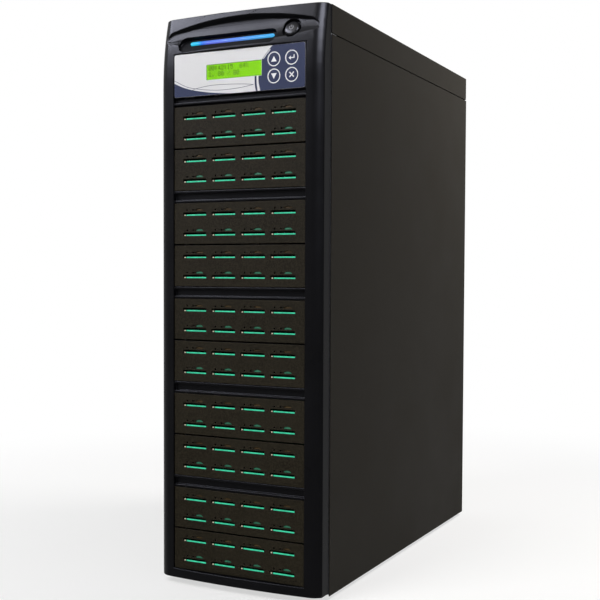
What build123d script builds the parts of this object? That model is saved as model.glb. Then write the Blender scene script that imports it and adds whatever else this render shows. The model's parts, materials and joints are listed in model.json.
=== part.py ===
"""SD card duplicator tower: sheet-metal case, moulded front, control module and card readers.

Millimetres. X points to the right as seen from the front, Y to the back and Z up.
The origin is on the floor, under the middle of the tower's outer box.
"""

from build123d import *
from math import asin, cos, degrees, pi, radians, sin, sqrt
import os

# Card readers and the slits in their faceplates
PAIR_COUNT = 5            # bay pairs, each with two reader modules
FACE_W = 148.0            # width of every faceplate
FACE_H = 40.4             # height of a reader faceplate
FACE_T = 2.5              # thickness of a faceplate
MODULE_GAP = 1.6          # between the two faceplates of a pair
PAIR_PITCH = 95.0         # from one pair to the next
SLIT_W = 27.0             # card slit
SLIT_H = 3.4
SLIT_PITCH = 33.4         # from slit to slit along a row
SLITS_A_ROW = 4
SLIT_ROWS = (10.9, 30.9)  # slit centres, below the faceplate's top edge
BOARD_SHOW = 1.0          # how much of the board's edge shows in the slit
WINDOW_W = 9.2            # window over each slit, narrower at its top
WINDOW_H = 2.0
WINDOW_SLOPE = 45.0
WINDOW_SHIFT = 5.4        # from the slit's centre to the window's centre
WINDOW_RISE = 1.3         # from the slit's top edge to the window's base

# Control module
CONTROL_H = 42.6
CONTROL_GAP = 9.4         # between the control module and the first reader
CONTROL_T = 3.0
OVERLAY_T = 0.4
OVERLAY_MARGIN = 0.4      # bare edge of the faceplate round the printed film
OVERLAY_R = 2.2
LCD_W = 62.6
LCD_H = 14.8
LCD_TO_KEYS = 54.5        # centre of the display window to the middle of the keys
LCD_Z = 22.4              # above the module's bottom edge
LENS_T = 3.0
LCD_BODY_W = 80.0
LCD_BODY_H = 26.0
KEY_R = 7.1
KEY_FLATS = 32            # keys and their holes are many-sided
KEY_IN = 24.3             # from the faceplate's right edge in to the middle of the four keys
KEY_Z = 21.2
KEY_PITCH_X = 19.2
KEY_PITCH_Z = 16.0
KEY_TABS = 15.4           # over the two tabs that keep a key behind the faceplate
KEY_TAB_W = 5.0
KEY_TAB_T = 1.0
KEY_STEM_W = 3.2
KEY_TRAVEL = 0.5
TACT_SIZE = 6.0
TACT_H = 3.5

# Front bezel
CHIN_H = 9.2
BROW_H = 36.9
BEZEL_RAISE = 2.5         # bezel's bottom edge above the case's
BEZEL_INSET = 0.8         # from the side panel's face in to the bezel's side
SEAM_D = 18.6             # from the faceplates back to the joint with the case
BOW_PROUD = 4.2           # middle of the bowed front, ahead of the faceplates
CREST_PROUD = 0.8         # rail crest, ahead of the faceplates
CREST_IN = 11.2           # from the bezel's side in to the rail crest
CORNER_BACK = 5.0         # front corner, behind the faceplates
CORNER_R = 2.0
BAY_CLEAR = 0.5           # round every faceplate
LEAN_START = 69.0         # below the top, where the front starts to lean back
LEAN_R = 286.0
LEAN_SPARE = 1.0          # degrees swept past the top, then cut off level
BAR_SET = 0.4             # cross bars, behind the faceplates
BAR_D = 9.0
RIB_H = 2.4
RIB_D = 3.0
CONTROL_LEDGE_H = 1.6     # ledge under the single rib over the first reader
WALL = 3.0                # moulded wall
BROW_FLOOR = 2.2
SCOOP_BACKING = 5.0       # solid plastic behind the scoop's deepest point
SCOOP_R = 36.0
SCOOP_D = 7.5             # deepest point of the scoop, behind the faceplates
SCOOP_Z = 28.9            # of its axis, above the brow's lower edge
ARCH_HALF_W = 87.5
ARCH_Z = 32.2             # crown of the arch above the brow's lower edge
ARCH_SINK = 9.6           # how far the arch drops from its crown to its shoulders
ARCH_CORNER_R = 12.0
ARCH_PLANE_D = 2.6
ARCH_TAPER = 40.0

# Light bar in the brow
BAR_RECESS_L = 111.8
BAR_RECESS_H = 15.6
BAR_RECESS_D = 3.6
BAR_RECESS_X = -14.2
BAR_Z = 9.5               # above the brow's lower edge
LENS_L = 95.4
LENS_H = 3.8
LENS_X = -11.2
LENS_LIFT = 3.2           # lens above the recess's middle line
LENS_DEPTH = 7.0
LENS_PROUD = 1.2          # lens ahead of the recess floor
LENS_CLEAR = 0.2
LED_BOARD_T = 1.6
LED_BOARD_LONGER = 6.0
LED_BOARD_TALLER = 2.0
LED_BOARD_ROOM = 2.0      # behind the board, inside its recess

# Power button in the brow
BUTTON_X = 56.6
BUTTON_Z = 14.6           # above the brow's lower edge
BUTTON_R = 8.0
BUTTON_FLATS = 32
BUTTON_RECESS_R = 9.8
BUTTON_RECESS_D = 3.0
BUTTON_SEAT_T = 3.0
BUTTON_PROUD = 1.4
BUTTON_CLEAR = 0.2
BUTTON_TABS = 18.6        # over the two tabs that keep the button behind its seat
BUTTON_TAB_W = 8.0
BUTTON_TAB_T = 1.2
BUTTON_BEVEL = 0.8
BUTTON_TRAVEL = 2.5
BUTTON_STEM_W = 4.4
STEM_IN = 0.8             # resting stem's end inside its switch
SWITCH_ROOM = 2.0         # left in the boss behind the pressed tabs
BOSS_BORE_R = 10.4
BOSS_WALL = 2.0
BOSS_FLATS = 16
SWITCH_SIZE = 10.0
SWITCH_BOARD_T = 1.6
SWITCH_BOARD_H = 12.8

# Sheet-metal case
CASE_W = 184.0
CASE_D = 387.4            # from the bezel's joint to the rear panel's outside
FLOOR_GAP = 4.0           # from the floor to the case
SHEET = 1.0
FIT = 0.3                 # between neighbouring sheets
SNUG = 0.1                # between pieces that lie against each other
STRIP_H = 27.0            # top cover's turn-down on each side
GROOVE = 1.0              # between that strip and the side panel
HEM_START = 24.4          # side panel's folded edges, from the bezel's joint
HEM_W = 6.0
PANEL_TRAVEL = 18.0       # how far a side panel slides back
FLANGE_W = 16.0           # side panel's fold over the rear panel
FLANGE_TRIM = 8.0
RING_SIDE = 1.0           # chassis opening past the faceplates' bay, on each side
RING_SILL = 8.0
RETURN_D = 12.0
THUMB_IN = 11.0           # from the case's side in to a thumbscrew's axis
THUMB_R = 5.0
THUMB_H = 8.5
THUMB_FLATS = 16
SHANK_R = 1.75
SHANK_FLATS = 6
SHANK_L = 6.0
SHANK_CLEAR = 0.2
THUMB_ENDS = 40.0         # first and last thumbscrew, from the panel's ends
FOOT_W = 18.0
FOOT_TAPER = 12.0
FOOT_IN_X = 24.0
FOOT_IN_Y = 34.0

# Drive cage, trays and boards
ARM_IN = 0.6              # from the faceplate's edge in to a module's side arm
ARM_T = 1.4
ARM_H = 31.0
ARM_D = 66.0
CAGE_D = 150.0
CAGE_FLANGE = 13.0
CAGE_SLOT = (12.0, 4.0)
SCREW_Y = 45.0            # behind the faceplates
SCREW_HEAD_R = 3.0
SCREW_HEAD_FLATS = 6
SCREW_HEAD_H = 1.8
SCREW_SHANK_R = 1.5
SCREW_SHANK_FLATS = 4
BOARD_T = 1.6
BOARD_D = 60.0
BACKPLANE_W = 120.0
SOCKET_W = 28.4
SOCKET_D = 27.0
SOCKET_H = 2.9
SOCKET_WALL = 0.35
HARNESS_W = 36.0
HARNESS_T = 1.2
PLUG_D = 6.0
PLUG_H = 8.0

# Power supply and fans
PSU_W = 150.0
PSU_H = 86.0
PSU_D = 140.0
PSU_DROP = 8.0            # below the top cover
PSU_WINDOW_MARGIN = 5.0
SHELF_D = 60.0
FAN = 80.0
FAN_T = 25.0
FAN_CORNER = 3.0
FAN_BORE_R = 38.2
FAN_BORE_FLATS = 40
TIP_GAP = 1.2
HUB_R = 17.0
HUB_L = 18.0
HUB_FLATS = 24
HUB_GAP = 1.5             # between the hub and the motor plate
SHAFT_R = 1.5
SHAFT_L = 2.0             # inside the motor plate
SHAFT_CLEAR = 0.05
MOTOR_T = 3.0
MOTOR_FLATS = 12
STRUT_W = 5.0
STRUT_ROOT = 0.5          # strut's end inside the frame
BLADES = 7
BLADE_T = 1.2
BLADE_ROOT = 1.0          # blade's end inside the hub
BLADE_CHORD = 22.0
BLADE_CAMBER = 2.8
BLADE_FLAT = 7.4          # middle one of the blade's three flats
BLADE_TILT = 34.0
GRILLE_PITCH = 6.4
GRILLE_SLOT = 3.6
PSU_FAN_X = -28.0
REAR_FAN_DROP = 70.0      # rear fan's centre under the power supply
INLET_X = 48.0
INLET_Z = 16.0            # above the power supply's middle
INLET_W = 28.0
INLET_H = 21.0
INLET_D = 18.0
INLET_WALL = 1.8
INLET_FLANGE = 1.8
INLET_FLANGE_T = 1.4
PIN_W = 2.0
PIN_H = 4.0
PIN_L = 11.0
PIN_PITCH = 14.0
PIN_Z = 1.6
EARTH_Z = 5.2
ROCKER_X = 48.0
ROCKER_Z = -18.0
ROCKER_W = 10.0
ROCKER_H = 16.0
ROCKER_RISE = 3.6
ROCKER_DIP = 1.2          # middle of the rocker's outer face, above its axis
ROCKER_BACK = 4.0
ROCKER_KEEL = 5.4         # height of its inner end
ROCKER_TILT = 8.0         # each way from the middle
ROCKER_PIN_R = 1.2
ROCKER_PIN_L = 1.2
PIN_CLEAR = 0.06
SWITCH_WALL = 1.8
SWITCH_D = 14.0
SWITCH_CLEAR = 0.5

# Places worked out from the sizes above, heights first
PAIR_H = 2 * FACE_H + MODULE_GAP
BODY_W = FACE_W - 2 * ARM_IN
KEY_X = FACE_W / 2 - KEY_IN
LCD_X = KEY_X - LCD_TO_KEYS
Z_CASE = FLOOR_GAP
Z_BEZEL = Z_CASE + BEZEL_RAISE
Z_CHIN = Z_BEZEL + CHIN_H
Z_READERS = Z_CHIN + BAY_CLEAR
Z_READERS_TOP = Z_READERS + (PAIR_COUNT - 1) * PAIR_PITCH + PAIR_H
Z_CONTROL = Z_READERS_TOP + CONTROL_GAP
Z_BROW = Z_CONTROL + CONTROL_H + BAY_CLEAR
Z_TOP = Z_BROW + BROW_H
Z_STRIP = Z_TOP - STRIP_H
Z_PAN = Z_CASE + SHEET + FIT
Z_PAN_TOP = Z_PAN + SHEET
TOTAL_D = BOW_PROUD + SEAM_D + CASE_D + SHEET + THUMB_H
Y_FACE = -TOTAL_D / 2 + BOW_PROUD
Y_SEAM = Y_FACE + SEAM_D
Y_REAR = Y_SEAM + CASE_D
Y_IN_REAR = Y_REAR - SHEET
HALF_W = CASE_W / 2
THUMB_X = HALF_W - THUMB_IN
BEZEL_HALF = HALF_W - BEZEL_INSET
CREST_X = BEZEL_HALF - CREST_IN
INNER_HALF = HALF_W - SHEET - FIT
BAY_HALF = FACE_W / 2 + BAY_CLEAR
Z_PSU = Z_TOP - SHEET - PSU_DROP - PSU_H
Z_PSU_MID = Z_PSU + PSU_H / 2
Z_FAN = Z_PSU - REAR_FAN_DROP
SLIT_CENTRES = [(i - (SLITS_A_ROW - 1) / 2) * SLIT_PITCH for i in range(SLITS_A_ROW)]
KEYS = {"key_up": (-1, 1), "key_enter": (1, 1), "key_down": (-1, -1), "key_escape": (1, -1)}


def block(x0, x1, y0, y1, z0, z1):
    """A rectangular block between two corners."""
    return Pos((x0 + x1) / 2, (y0 + y1) / 2, (z0 + z1) / 2) * Box(abs(x1 - x0), abs(y1 - y0), abs(z1 - z0))


def both_sides(piece):
    """A piece and its mirror image across the middle plane."""
    return [piece, mirror(piece, about=Plane.YZ)]


def rod(radius, x, y0, y1, z):
    """A cylinder along Y from y0 to y1."""
    return Pos(x, (y0 + y1) / 2, z) * Rot(90, 0, 0) * Cylinder(radius, abs(y1 - y0))


def flat_rod(radius, flats, x, y0, y1, z):
    """A many-sided rod along Y from y0 to y1, with its corners at the radius."""
    plane = Plane(origin=(x, y0, z), x_dir=(1, 0, 0), z_dir=(0, -1, 0))
    return extrude(plane * RegularPolygon(radius, flats), y0 - y1)


def module_bottom(index):
    """Lower edge of reader faceplate number index, counted from 1 at the top."""
    pair, lower = divmod(index - 1, 2)
    pair_bottom = Z_READERS + (PAIR_COUNT - 1 - pair) * PAIR_PITCH
    return pair_bottom + (0 if lower else FACE_H + MODULE_GAP)


def row_heights(index):
    """Centre heights of a reader's two rows of slits."""
    return [module_bottom(index) + FACE_H - drop for drop in SLIT_ROWS]


def board_top(slit_z):
    """Top of the board that shows in the lower part of a slit."""
    return slit_z - SLIT_H / 2 + BOARD_SHOW


def scoop_plane(x, height):
    """Plane on the scoop's floor at a height above the brow's lower edge, facing outwards."""
    slope = asin((SCOOP_Z - height) / SCOOP_R)
    y = Y_FACE + SCOOP_D - SCOOP_R + SCOOP_R * cos(slope)
    return Plane(origin=(x, y, Z_BROW + height), x_dir=(1, 0, 0), z_dir=(0, -cos(slope), sin(slope)))


def bezel_blank():
    """The bezel's outer form: a bowed plan, straight up and then leaning back at the top."""
    bow = ThreePointArc((-CREST_X, Y_FACE - CREST_PROUD), (0, Y_FACE - BOW_PROUD),
                        (CREST_X, Y_FACE - CREST_PROUD))
    right = TangentArc((CREST_X, Y_FACE - CREST_PROUD), (BEZEL_HALF, Y_FACE + CORNER_BACK), tangent=bow % 1)
    left = mirror(right, about=Plane.YZ)
    back = Polyline((BEZEL_HALF, Y_FACE + CORNER_BACK), (BEZEL_HALF, Y_SEAM), (-BEZEL_HALF, Y_SEAM),
                    (-BEZEL_HALF, Y_FACE + CORNER_BACK))
    plan = make_face(Curve() + [bow, right, left, back])
    corners = plan.vertices().filter_by(lambda v: abs(v.Y - Y_FACE - CORNER_BACK) < FIT)
    plan = fillet(corners, CORNER_R)
    lean_z = Z_TOP - LEAN_START
    upright = extrude(Pos(0, 0, Z_BEZEL) * plan, lean_z - Z_BEZEL)
    lean_axis = Axis((0, Y_FACE + CORNER_BACK + LEAN_R, lean_z), (-1, 0, 0))
    lean_angle = degrees(asin(LEAN_START / (LEAN_R - SEAM_D))) + LEAN_SPARE
    leaning = revolve(Pos(0, 0, lean_z) * plan, lean_axis, lean_angle)
    keep = block(-HALF_W, HALF_W, Y_FACE - 2 * BOW_PROUD, Y_SEAM, Z_BEZEL, Z_TOP)
    return (upright + leaning) & keep


def scoop():
    """The arched hollow under the brow, cut by a lying cylinder inside a tapered arch."""
    low, crown = Z_BROW - WALL, Z_BROW + ARCH_Z
    shoulder = crown - ARCH_SINK
    arch = make_face(Curve() + [
        ThreePointArc((-ARCH_HALF_W, shoulder), (0, crown), (ARCH_HALF_W, shoulder)),
        Polyline((ARCH_HALF_W, shoulder), (ARCH_HALF_W, low), (-ARCH_HALF_W, low), (-ARCH_HALF_W, shoulder))])
    arch = fillet(arch.vertices().sort_by(Axis.Y)[-2:], ARCH_CORNER_R)
    front_plane = Plane(origin=(0, Y_FACE + ARCH_PLANE_D, 0), x_dir=(1, 0, 0), z_dir=(0, -1, 0))
    prism = extrude(front_plane * arch, SCOOP_R) + extrude(front_plane * arch, -SCOOP_D, taper=ARCH_TAPER)
    drum = Pos(0, Y_FACE + SCOOP_D - SCOOP_R, Z_BROW + SCOOP_Z) * Rot(0, 90, 0) * Cylinder(SCOOP_R, CASE_W)
    return prism & drum


def bay_bars():
    """Cuts that leave the twin-ribbed bars between the pairs and the single rib over the first pair."""
    cuts = [block(-BAY_HALF, BAY_HALF, Y_FACE - 2 * BOW_PROUD, Y_FACE + BAR_SET, Z_CHIN, Z_BROW),
            block(-BAY_HALF, BAY_HALF, Y_FACE + BAR_D, Y_SEAM, Z_CHIN, Z_BROW)]
    for pair in range(PAIR_COUNT):
        low = Z_READERS + pair * PAIR_PITCH
        cuts.append(block(-BAY_HALF, BAY_HALF, Y_FACE, Y_SEAM, low - BAY_CLEAR, low + PAIR_H + BAY_CLEAR))
    for pair in range(PAIR_COUNT - 1):
        low = Z_READERS + pair * PAIR_PITCH + PAIR_H + BAY_CLEAR + RIB_H
        high = Z_READERS + (pair + 1) * PAIR_PITCH - BAY_CLEAR - RIB_H
        cuts.append(block(-BAY_HALF, BAY_HALF, Y_FACE, Y_FACE + BAR_SET + RIB_D, low, high))
    cuts.append(block(-BAY_HALF, BAY_HALF, Y_FACE, Y_SEAM, Z_CONTROL - BAY_CLEAR, Z_BROW))
    rib_low = Z_READERS_TOP + BAY_CLEAR + CONTROL_LEDGE_H
    cuts.append(block(-BAY_HALF, BAY_HALF, Y_FACE, Y_FACE + BAR_SET + RIB_D, Z_READERS_TOP, rib_low))
    cuts.append(block(-BAY_HALF, BAY_HALF, Y_FACE, Y_FACE + BAR_SET + RIB_D, rib_low + RIB_H, Z_CONTROL))
    return cuts


def front_bezel():
    """Moulded front: chin, rails, bars and brow, hollow behind, with the brow's recesses and boss."""
    body = bezel_blank() - bay_bars() - scoop()
    inner = BEZEL_HALF - WALL
    pockets = [block(-inner, inner, Y_FACE + SCOOP_D + SCOOP_BACKING, Y_SEAM, Z_BROW + BROW_FLOOR, Z_TOP - WALL),
               block(-inner, inner, Y_FACE + WALL, Y_SEAM, Z_BEZEL + WALL, Z_CHIN - WALL)]
    pockets += both_sides(block(BAY_HALF + WALL, inner, Y_FACE + CORNER_BACK, Y_SEAM, Z_CHIN, Z_BROW))
    body = body - pockets
    button = scoop_plane(BUTTON_X, BUTTON_Z)
    seat = BUTTON_RECESS_D + BUTTON_SEAT_T
    boss = extrude(button.offset(-seat) * RegularPolygon(BOSS_BORE_R + BOSS_WALL, BOSS_FLATS), -boss_length())
    body = body + (boss - block(-HALF_W, HALF_W, Y_FACE - SCOOP_R, Y_FACE + SCOOP_D, Z_BROW, Z_TOP))
    light = scoop_plane(BAR_RECESS_X, BAR_Z)
    floor = light.offset(-BAR_RECESS_D)
    lens_hole = Pos(LENS_X - BAR_RECESS_X, LENS_LIFT) * SlotOverall(LENS_L + 2 * LENS_CLEAR,
                                                                    LENS_H + 2 * LENS_CLEAR)
    body = body - [
        extrude(button.offset(WALL) * Circle(BUTTON_RECESS_R), -WALL - BUTTON_RECESS_D),
        extrude(button * RegularPolygon(BUTTON_R + BUTTON_CLEAR, BUTTON_FLATS), -seat - WALL),
        extrude(button.offset(-seat) * RegularPolygon(BOSS_BORE_R, BOSS_FLATS), -boss_length()),
        extrude(light.offset(WALL) * SlotOverall(BAR_RECESS_L, BAR_RECESS_H), -WALL - BAR_RECESS_D),
        extrude(floor * lens_hole, -SEAM_D),
        extrude(floor.offset(-LENS_DEPTH) * light_board_outline(LENS_CLEAR), -LED_BOARD_T - LED_BOARD_ROOM)]
    return body


def boss_length():
    """Length of the boss behind the power button: tabs, travel, stem end and switch."""
    return BUTTON_TAB_T + 2 * BUTTON_TRAVEL + SWITCH_ROOM


def power_button():
    """Bevelled cap, two retaining tabs and a square stem on the button's own axis."""
    face = scoop_plane(BUTTON_X, BUTTON_Z)
    seat = BUTTON_RECESS_D + BUTTON_SEAT_T + BUTTON_CLEAR
    cap = extrude(face.offset(BUTTON_PROUD) * RegularPolygon(BUTTON_R, BUTTON_FLATS), -BUTTON_PROUD - seat)
    rim = cap.faces().sort_by(Axis((0, 0, 0), tuple(face.z_dir)))[-1].edges()
    cap = chamfer(rim, BUTTON_BEVEL)
    tabs = extrude(face.offset(-seat) * Rectangle(BUTTON_TABS, BUTTON_TAB_W), -BUTTON_TAB_T)
    reach = BUTTON_TAB_T + BUTTON_TRAVEL + BUTTON_CLEAR + STEM_IN
    stem = extrude(face.offset(-seat) * Rectangle(BUTTON_STEM_W, BUTTON_STEM_W), -reach)
    return cap + tabs + stem


def power_switch():
    """Switch housing that the button's stem runs in, on a board across the boss."""
    face = scoop_plane(BUTTON_X, BUTTON_Z)
    back = BUTTON_RECESS_D + BUTTON_SEAT_T + boss_length()
    outline = Rectangle(2 * (BOSS_BORE_R + BOSS_WALL), SWITCH_BOARD_H)
    board = extrude(face.offset(-back) * outline, -SWITCH_BOARD_T)
    reach = boss_length() - 2 * BUTTON_CLEAR - BUTTON_TAB_T - BUTTON_TRAVEL
    bore_w = BUTTON_STEM_W + 2 * BUTTON_CLEAR
    housing = extrude(face.offset(-back) * Rectangle(SWITCH_SIZE, SWITCH_SIZE), reach)
    return board + (housing - extrude(face.offset(-back) * Rectangle(bore_w, bore_w), reach))


def light_frame():
    """Plane of the light bar's recess floor."""
    return scoop_plane(BAR_RECESS_X, BAR_Z).offset(-BAR_RECESS_D)


def light_bar_lens():
    """Round-ended light guide through the recess floor."""
    section = Pos(LENS_X - BAR_RECESS_X, LENS_LIFT) * SlotOverall(LENS_L, LENS_H)
    return extrude(light_frame().offset(LENS_PROUD) * section, -LENS_PROUD - LENS_DEPTH)


def light_board_outline(grow=0.0):
    """Outline of the light bar's strip board, centred on the light guide."""
    board = Rectangle(LENS_L + LED_BOARD_LONGER + 2 * grow, LENS_H + LED_BOARD_TALLER + 2 * grow)
    return Pos(LENS_X - BAR_RECESS_X, LENS_LIFT) * board


def light_bar_board():
    """Strip board with the light sources, against the light guide's back."""
    return extrude(light_frame().offset(-LENS_DEPTH) * light_board_outline(), -LED_BOARD_T)


def side_arms(bottom, height):
    """A module's two side arms."""
    out = BODY_W / 2
    low = bottom + (height - ARM_H) / 2
    return both_sides(block(out - ARM_T, out, Y_FACE + FACE_T, Y_FACE + FACE_T + ARM_D, low, low + ARM_H))


def reader_faceplate(index):
    """Faceplate with two rows of card slits, a low window over each slit, and the tray's side arms."""
    bottom = module_bottom(index)
    rows = row_heights(index)
    plate = block(-FACE_W / 2, FACE_W / 2, Y_FACE, Y_FACE + FACE_T, bottom, bottom + FACE_H)
    face = Plane(origin=(0, Y_FACE + FACE_T, 0), x_dir=(1, 0, 0), z_dir=(0, -1, 0))
    holes = []
    for z in rows:
        base = z + SLIT_H / 2 + WINDOW_RISE
        for x in SLIT_CENTRES:
            window = Trapezoid(WINDOW_W, WINDOW_H, WINDOW_SLOPE)
            holes.append(Pos(x + WINDOW_SHIFT, base + WINDOW_H / 2) * window)
            holes.append(Pos(x, z) * Rectangle(SLIT_W, SLIT_H))
    cuts = extrude(face * Sketch(children=holes), FACE_T)
    return plate - cuts + side_arms(bottom, FACE_H)


def reader_boards(index):
    """Two socket boards joined by the back board that the harness plugs into."""
    front = Y_FACE + FACE_T + SNUG
    back = front + BOARD_D
    half = BODY_W / 2 - ARM_T - SNUG
    tops = [board_top(z) for z in row_heights(index)]
    boards = [block(-half, half, front, back, top - BOARD_T, top) for top in tops]
    rear = block(-BACKPLANE_W / 2, BACKPLANE_W / 2, back, back + BOARD_T, tops[1] - PLUG_H / 2,
                 tops[0] + PLUG_H / 2)
    return boards[0] + boards[1] + rear


def card_sockets(pair):
    """The card sockets of one bay pair: a stamped cover on each board, open behind the row of slits."""
    front = Y_FACE + FACE_T + FIT
    left, right = SLIT_CENTRES[0] - SOCKET_W / 2, SLIT_CENTRES[-1] + SOCKET_W / 2
    covers = []
    for index in (2 * pair - 1, 2 * pair):
        for z in row_heights(index):
            low = board_top(z)
            cover = block(left, right, front, front + SOCKET_D, low, low + SOCKET_H)
            covers.append(cover - block(left + SOCKET_WALL, right - SOCKET_WALL, front,
                                        front + SOCKET_D - SOCKET_WALL, low, low + SOCKET_H - SOCKET_WALL))
    return Compound(children=covers)


def key_place(name):
    """Centre of a key: x and z."""
    side, row = KEYS[name]
    return KEY_X + side * KEY_PITCH_X / 2, Z_CONTROL + KEY_Z + row * KEY_PITCH_Z / 2


def key_rods(radius, y0, y1):
    """One many-sided rod on each key's axis."""
    return [flat_rod(radius, KEY_FLATS, x, y0, y1, z) for x, z in map(key_place, KEYS)]


def lcd_block(y0, y1, spare=0.0):
    """A block in the place of the display window."""
    z = Z_CONTROL + LCD_Z
    return block(LCD_X - LCD_W / 2 - spare, LCD_X + LCD_W / 2 + spare, y0, y1,
                 z - LCD_H / 2 - spare, z + LCD_H / 2 + spare)


def controller_faceplate():
    """Faceplate of the control module with its window, key holes and side arms."""
    plate = block(-FACE_W / 2, FACE_W / 2, Y_FACE, Y_FACE + CONTROL_T, Z_CONTROL, Z_CONTROL + CONTROL_H)
    plate = plate - lcd_block(Y_FACE, Y_FACE + CONTROL_T, FIT / 2)
    plate = plate - key_rods(KEY_R + FIT / 2, Y_FACE, Y_FACE + CONTROL_T)
    return plate + side_arms(Z_CONTROL, CONTROL_H)


def controller_overlay():
    """Printed film over the control module, open at the window and the keys."""
    half = FACE_W / 2 - OVERLAY_MARGIN
    film = block(-half, half, Y_FACE - OVERLAY_T, Y_FACE, Z_CONTROL + OVERLAY_MARGIN,
                 Z_CONTROL + CONTROL_H - OVERLAY_MARGIN)
    film = fillet(film.edges().filter_by(Axis.Y), OVERLAY_R)
    film = film - lcd_block(Y_FACE - OVERLAY_T, Y_FACE, FIT / 2)
    return film - key_rods(KEY_R + FIT / 2, Y_FACE - OVERLAY_T, Y_FACE)


def key(name):
    """Flush key with two retaining tabs and a square stem towards its switch."""
    x, z = key_place(name)
    back = Y_FACE + CONTROL_T + SNUG
    cap = flat_rod(KEY_R, KEY_FLATS, x, Y_FACE - OVERLAY_T, back, z)
    tabs = block(x - KEY_TAB_W / 2, x + KEY_TAB_W / 2, back, back + KEY_TAB_T, z - KEY_TABS / 2, z + KEY_TABS / 2)
    half = KEY_STEM_W / 2
    stem = block(x - half, x + half, back, control_board_y() - TACT_H - KEY_TRAVEL - SNUG, z - half, z + half)
    return cap + tabs + stem


def control_board_y():
    """Front of the control board, behind the display."""
    return Y_FACE - OVERLAY_T + LENS_T + FIT + 2 * TACT_H


def lcd_module():
    """Display block between its window and the control board."""
    z = Z_CONTROL + LCD_Z
    front = Y_FACE - OVERLAY_T + LENS_T + FIT
    body = block(LCD_X - LCD_BODY_W / 2, LCD_X + LCD_BODY_W / 2, Y_FACE + CONTROL_T + FIT, control_board_y(),
                 z - LCD_BODY_H / 2, z + LCD_BODY_H / 2)
    body = body - key_rods(KEY_R + FIT, Y_FACE, Y_FACE + CONTROL_T + FIT + KEY_TRAVEL)
    return body + lcd_block(front, Y_FACE + CONTROL_T + FIT, -FIT)


def controller_board():
    """Control board with one small switch behind each key."""
    y = control_board_y()
    half = BODY_W / 2 - ARM_T - SNUG
    low = Z_CONTROL + (CONTROL_H - ARM_H) / 2
    board = block(-half, half, y, y + BOARD_T, low, low + ARM_H)
    for name in KEYS:
        x, z = key_place(name)
        side = TACT_SIZE / 2
        board = board + block(x - side, x + side, y - TACT_H, y, z - side, z + side)
    return board


def cage_plate():
    """One drive-cage plate with its front flange and a slot for every module screw."""
    inner = BODY_W / 2 + SNUG
    front = Y_SEAM + SHEET
    plate = block(inner, inner + SHEET, front, front + CAGE_D, Z_PAN_TOP, Z_BROW)
    flange = block(inner, inner + CAGE_FLANGE, front, front + SHEET, Z_PAN_TOP, Z_BROW)
    length, height = CAGE_SLOT
    slots = [block(inner, inner + SHEET, y - length / 2, y + length / 2, z - height / 2, z + height / 2)
             for y, z in screw_places()]
    return plate + flange - slots


def screw_places():
    """Places of the module screws on one side: y and z."""
    middles = [module_bottom(i) + FACE_H / 2 for i in range(1, 2 * PAIR_COUNT + 1)]
    middles.append(Z_CONTROL + CONTROL_H / 2)
    return [(Y_FACE + SCREW_Y, z) for z in middles]


def module_screws():
    """Hexagon-headed screws that hold the modules' arms to the cage plates."""
    face = BODY_W / 2 + SNUG + SHEET
    screws = []
    for y, z in screw_places():
        base = Plane(origin=(face, y, z), x_dir=(0, 1, 0), z_dir=(1, 0, 0))
        head = extrude(base * RegularPolygon(SCREW_HEAD_R, SCREW_HEAD_FLATS), SCREW_HEAD_H)
        shank = extrude(base * RegularPolygon(SCREW_SHANK_R, SCREW_SHANK_FLATS), BODY_W / 2 - face)
        screws += both_sides(head + shank)
    return Compound(children=screws)


def wiring_harness():
    """Flat trunk behind the modules with a plug for each, and a branch to the power supply."""
    plug_front = Y_FACE + FACE_T + SNUG + BOARD_D + BOARD_T
    trunk_y = plug_front + PLUG_D
    half = HARNESS_W / 2
    heights = [sum(map(board_top, row_heights(i))) / 2 for i in range(1, 2 * PAIR_COUNT + 1)]
    control_z = Z_CONTROL + CONTROL_H / 2
    harness = block(-half, half, trunk_y, trunk_y + HARNESS_T, heights[-1] - PLUG_H, control_z + PLUG_H)
    for z in heights:
        harness = harness + block(-half, half, plug_front, trunk_y, z - PLUG_H / 2, z + PLUG_H / 2)
    harness = harness + block(-half, half, control_board_y() + BOARD_T, trunk_y, control_z - PLUG_H / 2,
                              control_z + PLUG_H / 2)
    return harness + block(-half, half, trunk_y, Y_IN_REAR - PSU_D, control_z, control_z + HARNESS_T)


def chassis_frame():
    """Base pan and front ring with its side returns, folded from one sheet."""
    pan = block(-INNER_HALF, INNER_HALF, Y_SEAM, Y_REAR, Z_PAN, Z_PAN_TOP)
    ring = block(-INNER_HALF, INNER_HALF, Y_SEAM, Y_SEAM + SHEET, Z_PAN, Z_TOP - SHEET)
    open_half = BAY_HALF + RING_SIDE
    ring = ring - block(-open_half, open_half, Y_SEAM, Y_SEAM + SHEET, Z_CASE + RING_SILL, Z_TOP - RING_SILL)
    returns = both_sides(block(INNER_HALF - SHEET, INNER_HALF, Y_SEAM, Y_SEAM + RETURN_D, Z_PAN, Z_TOP - SHEET))
    return pan + ring + returns


def top_cover():
    """Top sheet that turns down over both sides."""
    top = block(-HALF_W, HALF_W, Y_SEAM, Y_REAR, Z_TOP - SHEET, Z_TOP)
    strips = both_sides(block(HALF_W - SHEET, HALF_W, Y_SEAM, Y_REAR, Z_STRIP, Z_TOP))
    return top + strips


def thumb_heights():
    """Heights of the three thumbscrews of a side panel."""
    low, high = Z_CASE + THUMB_ENDS, Z_STRIP - THUMB_ENDS
    return [low, (low + high) / 2, high]


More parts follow.
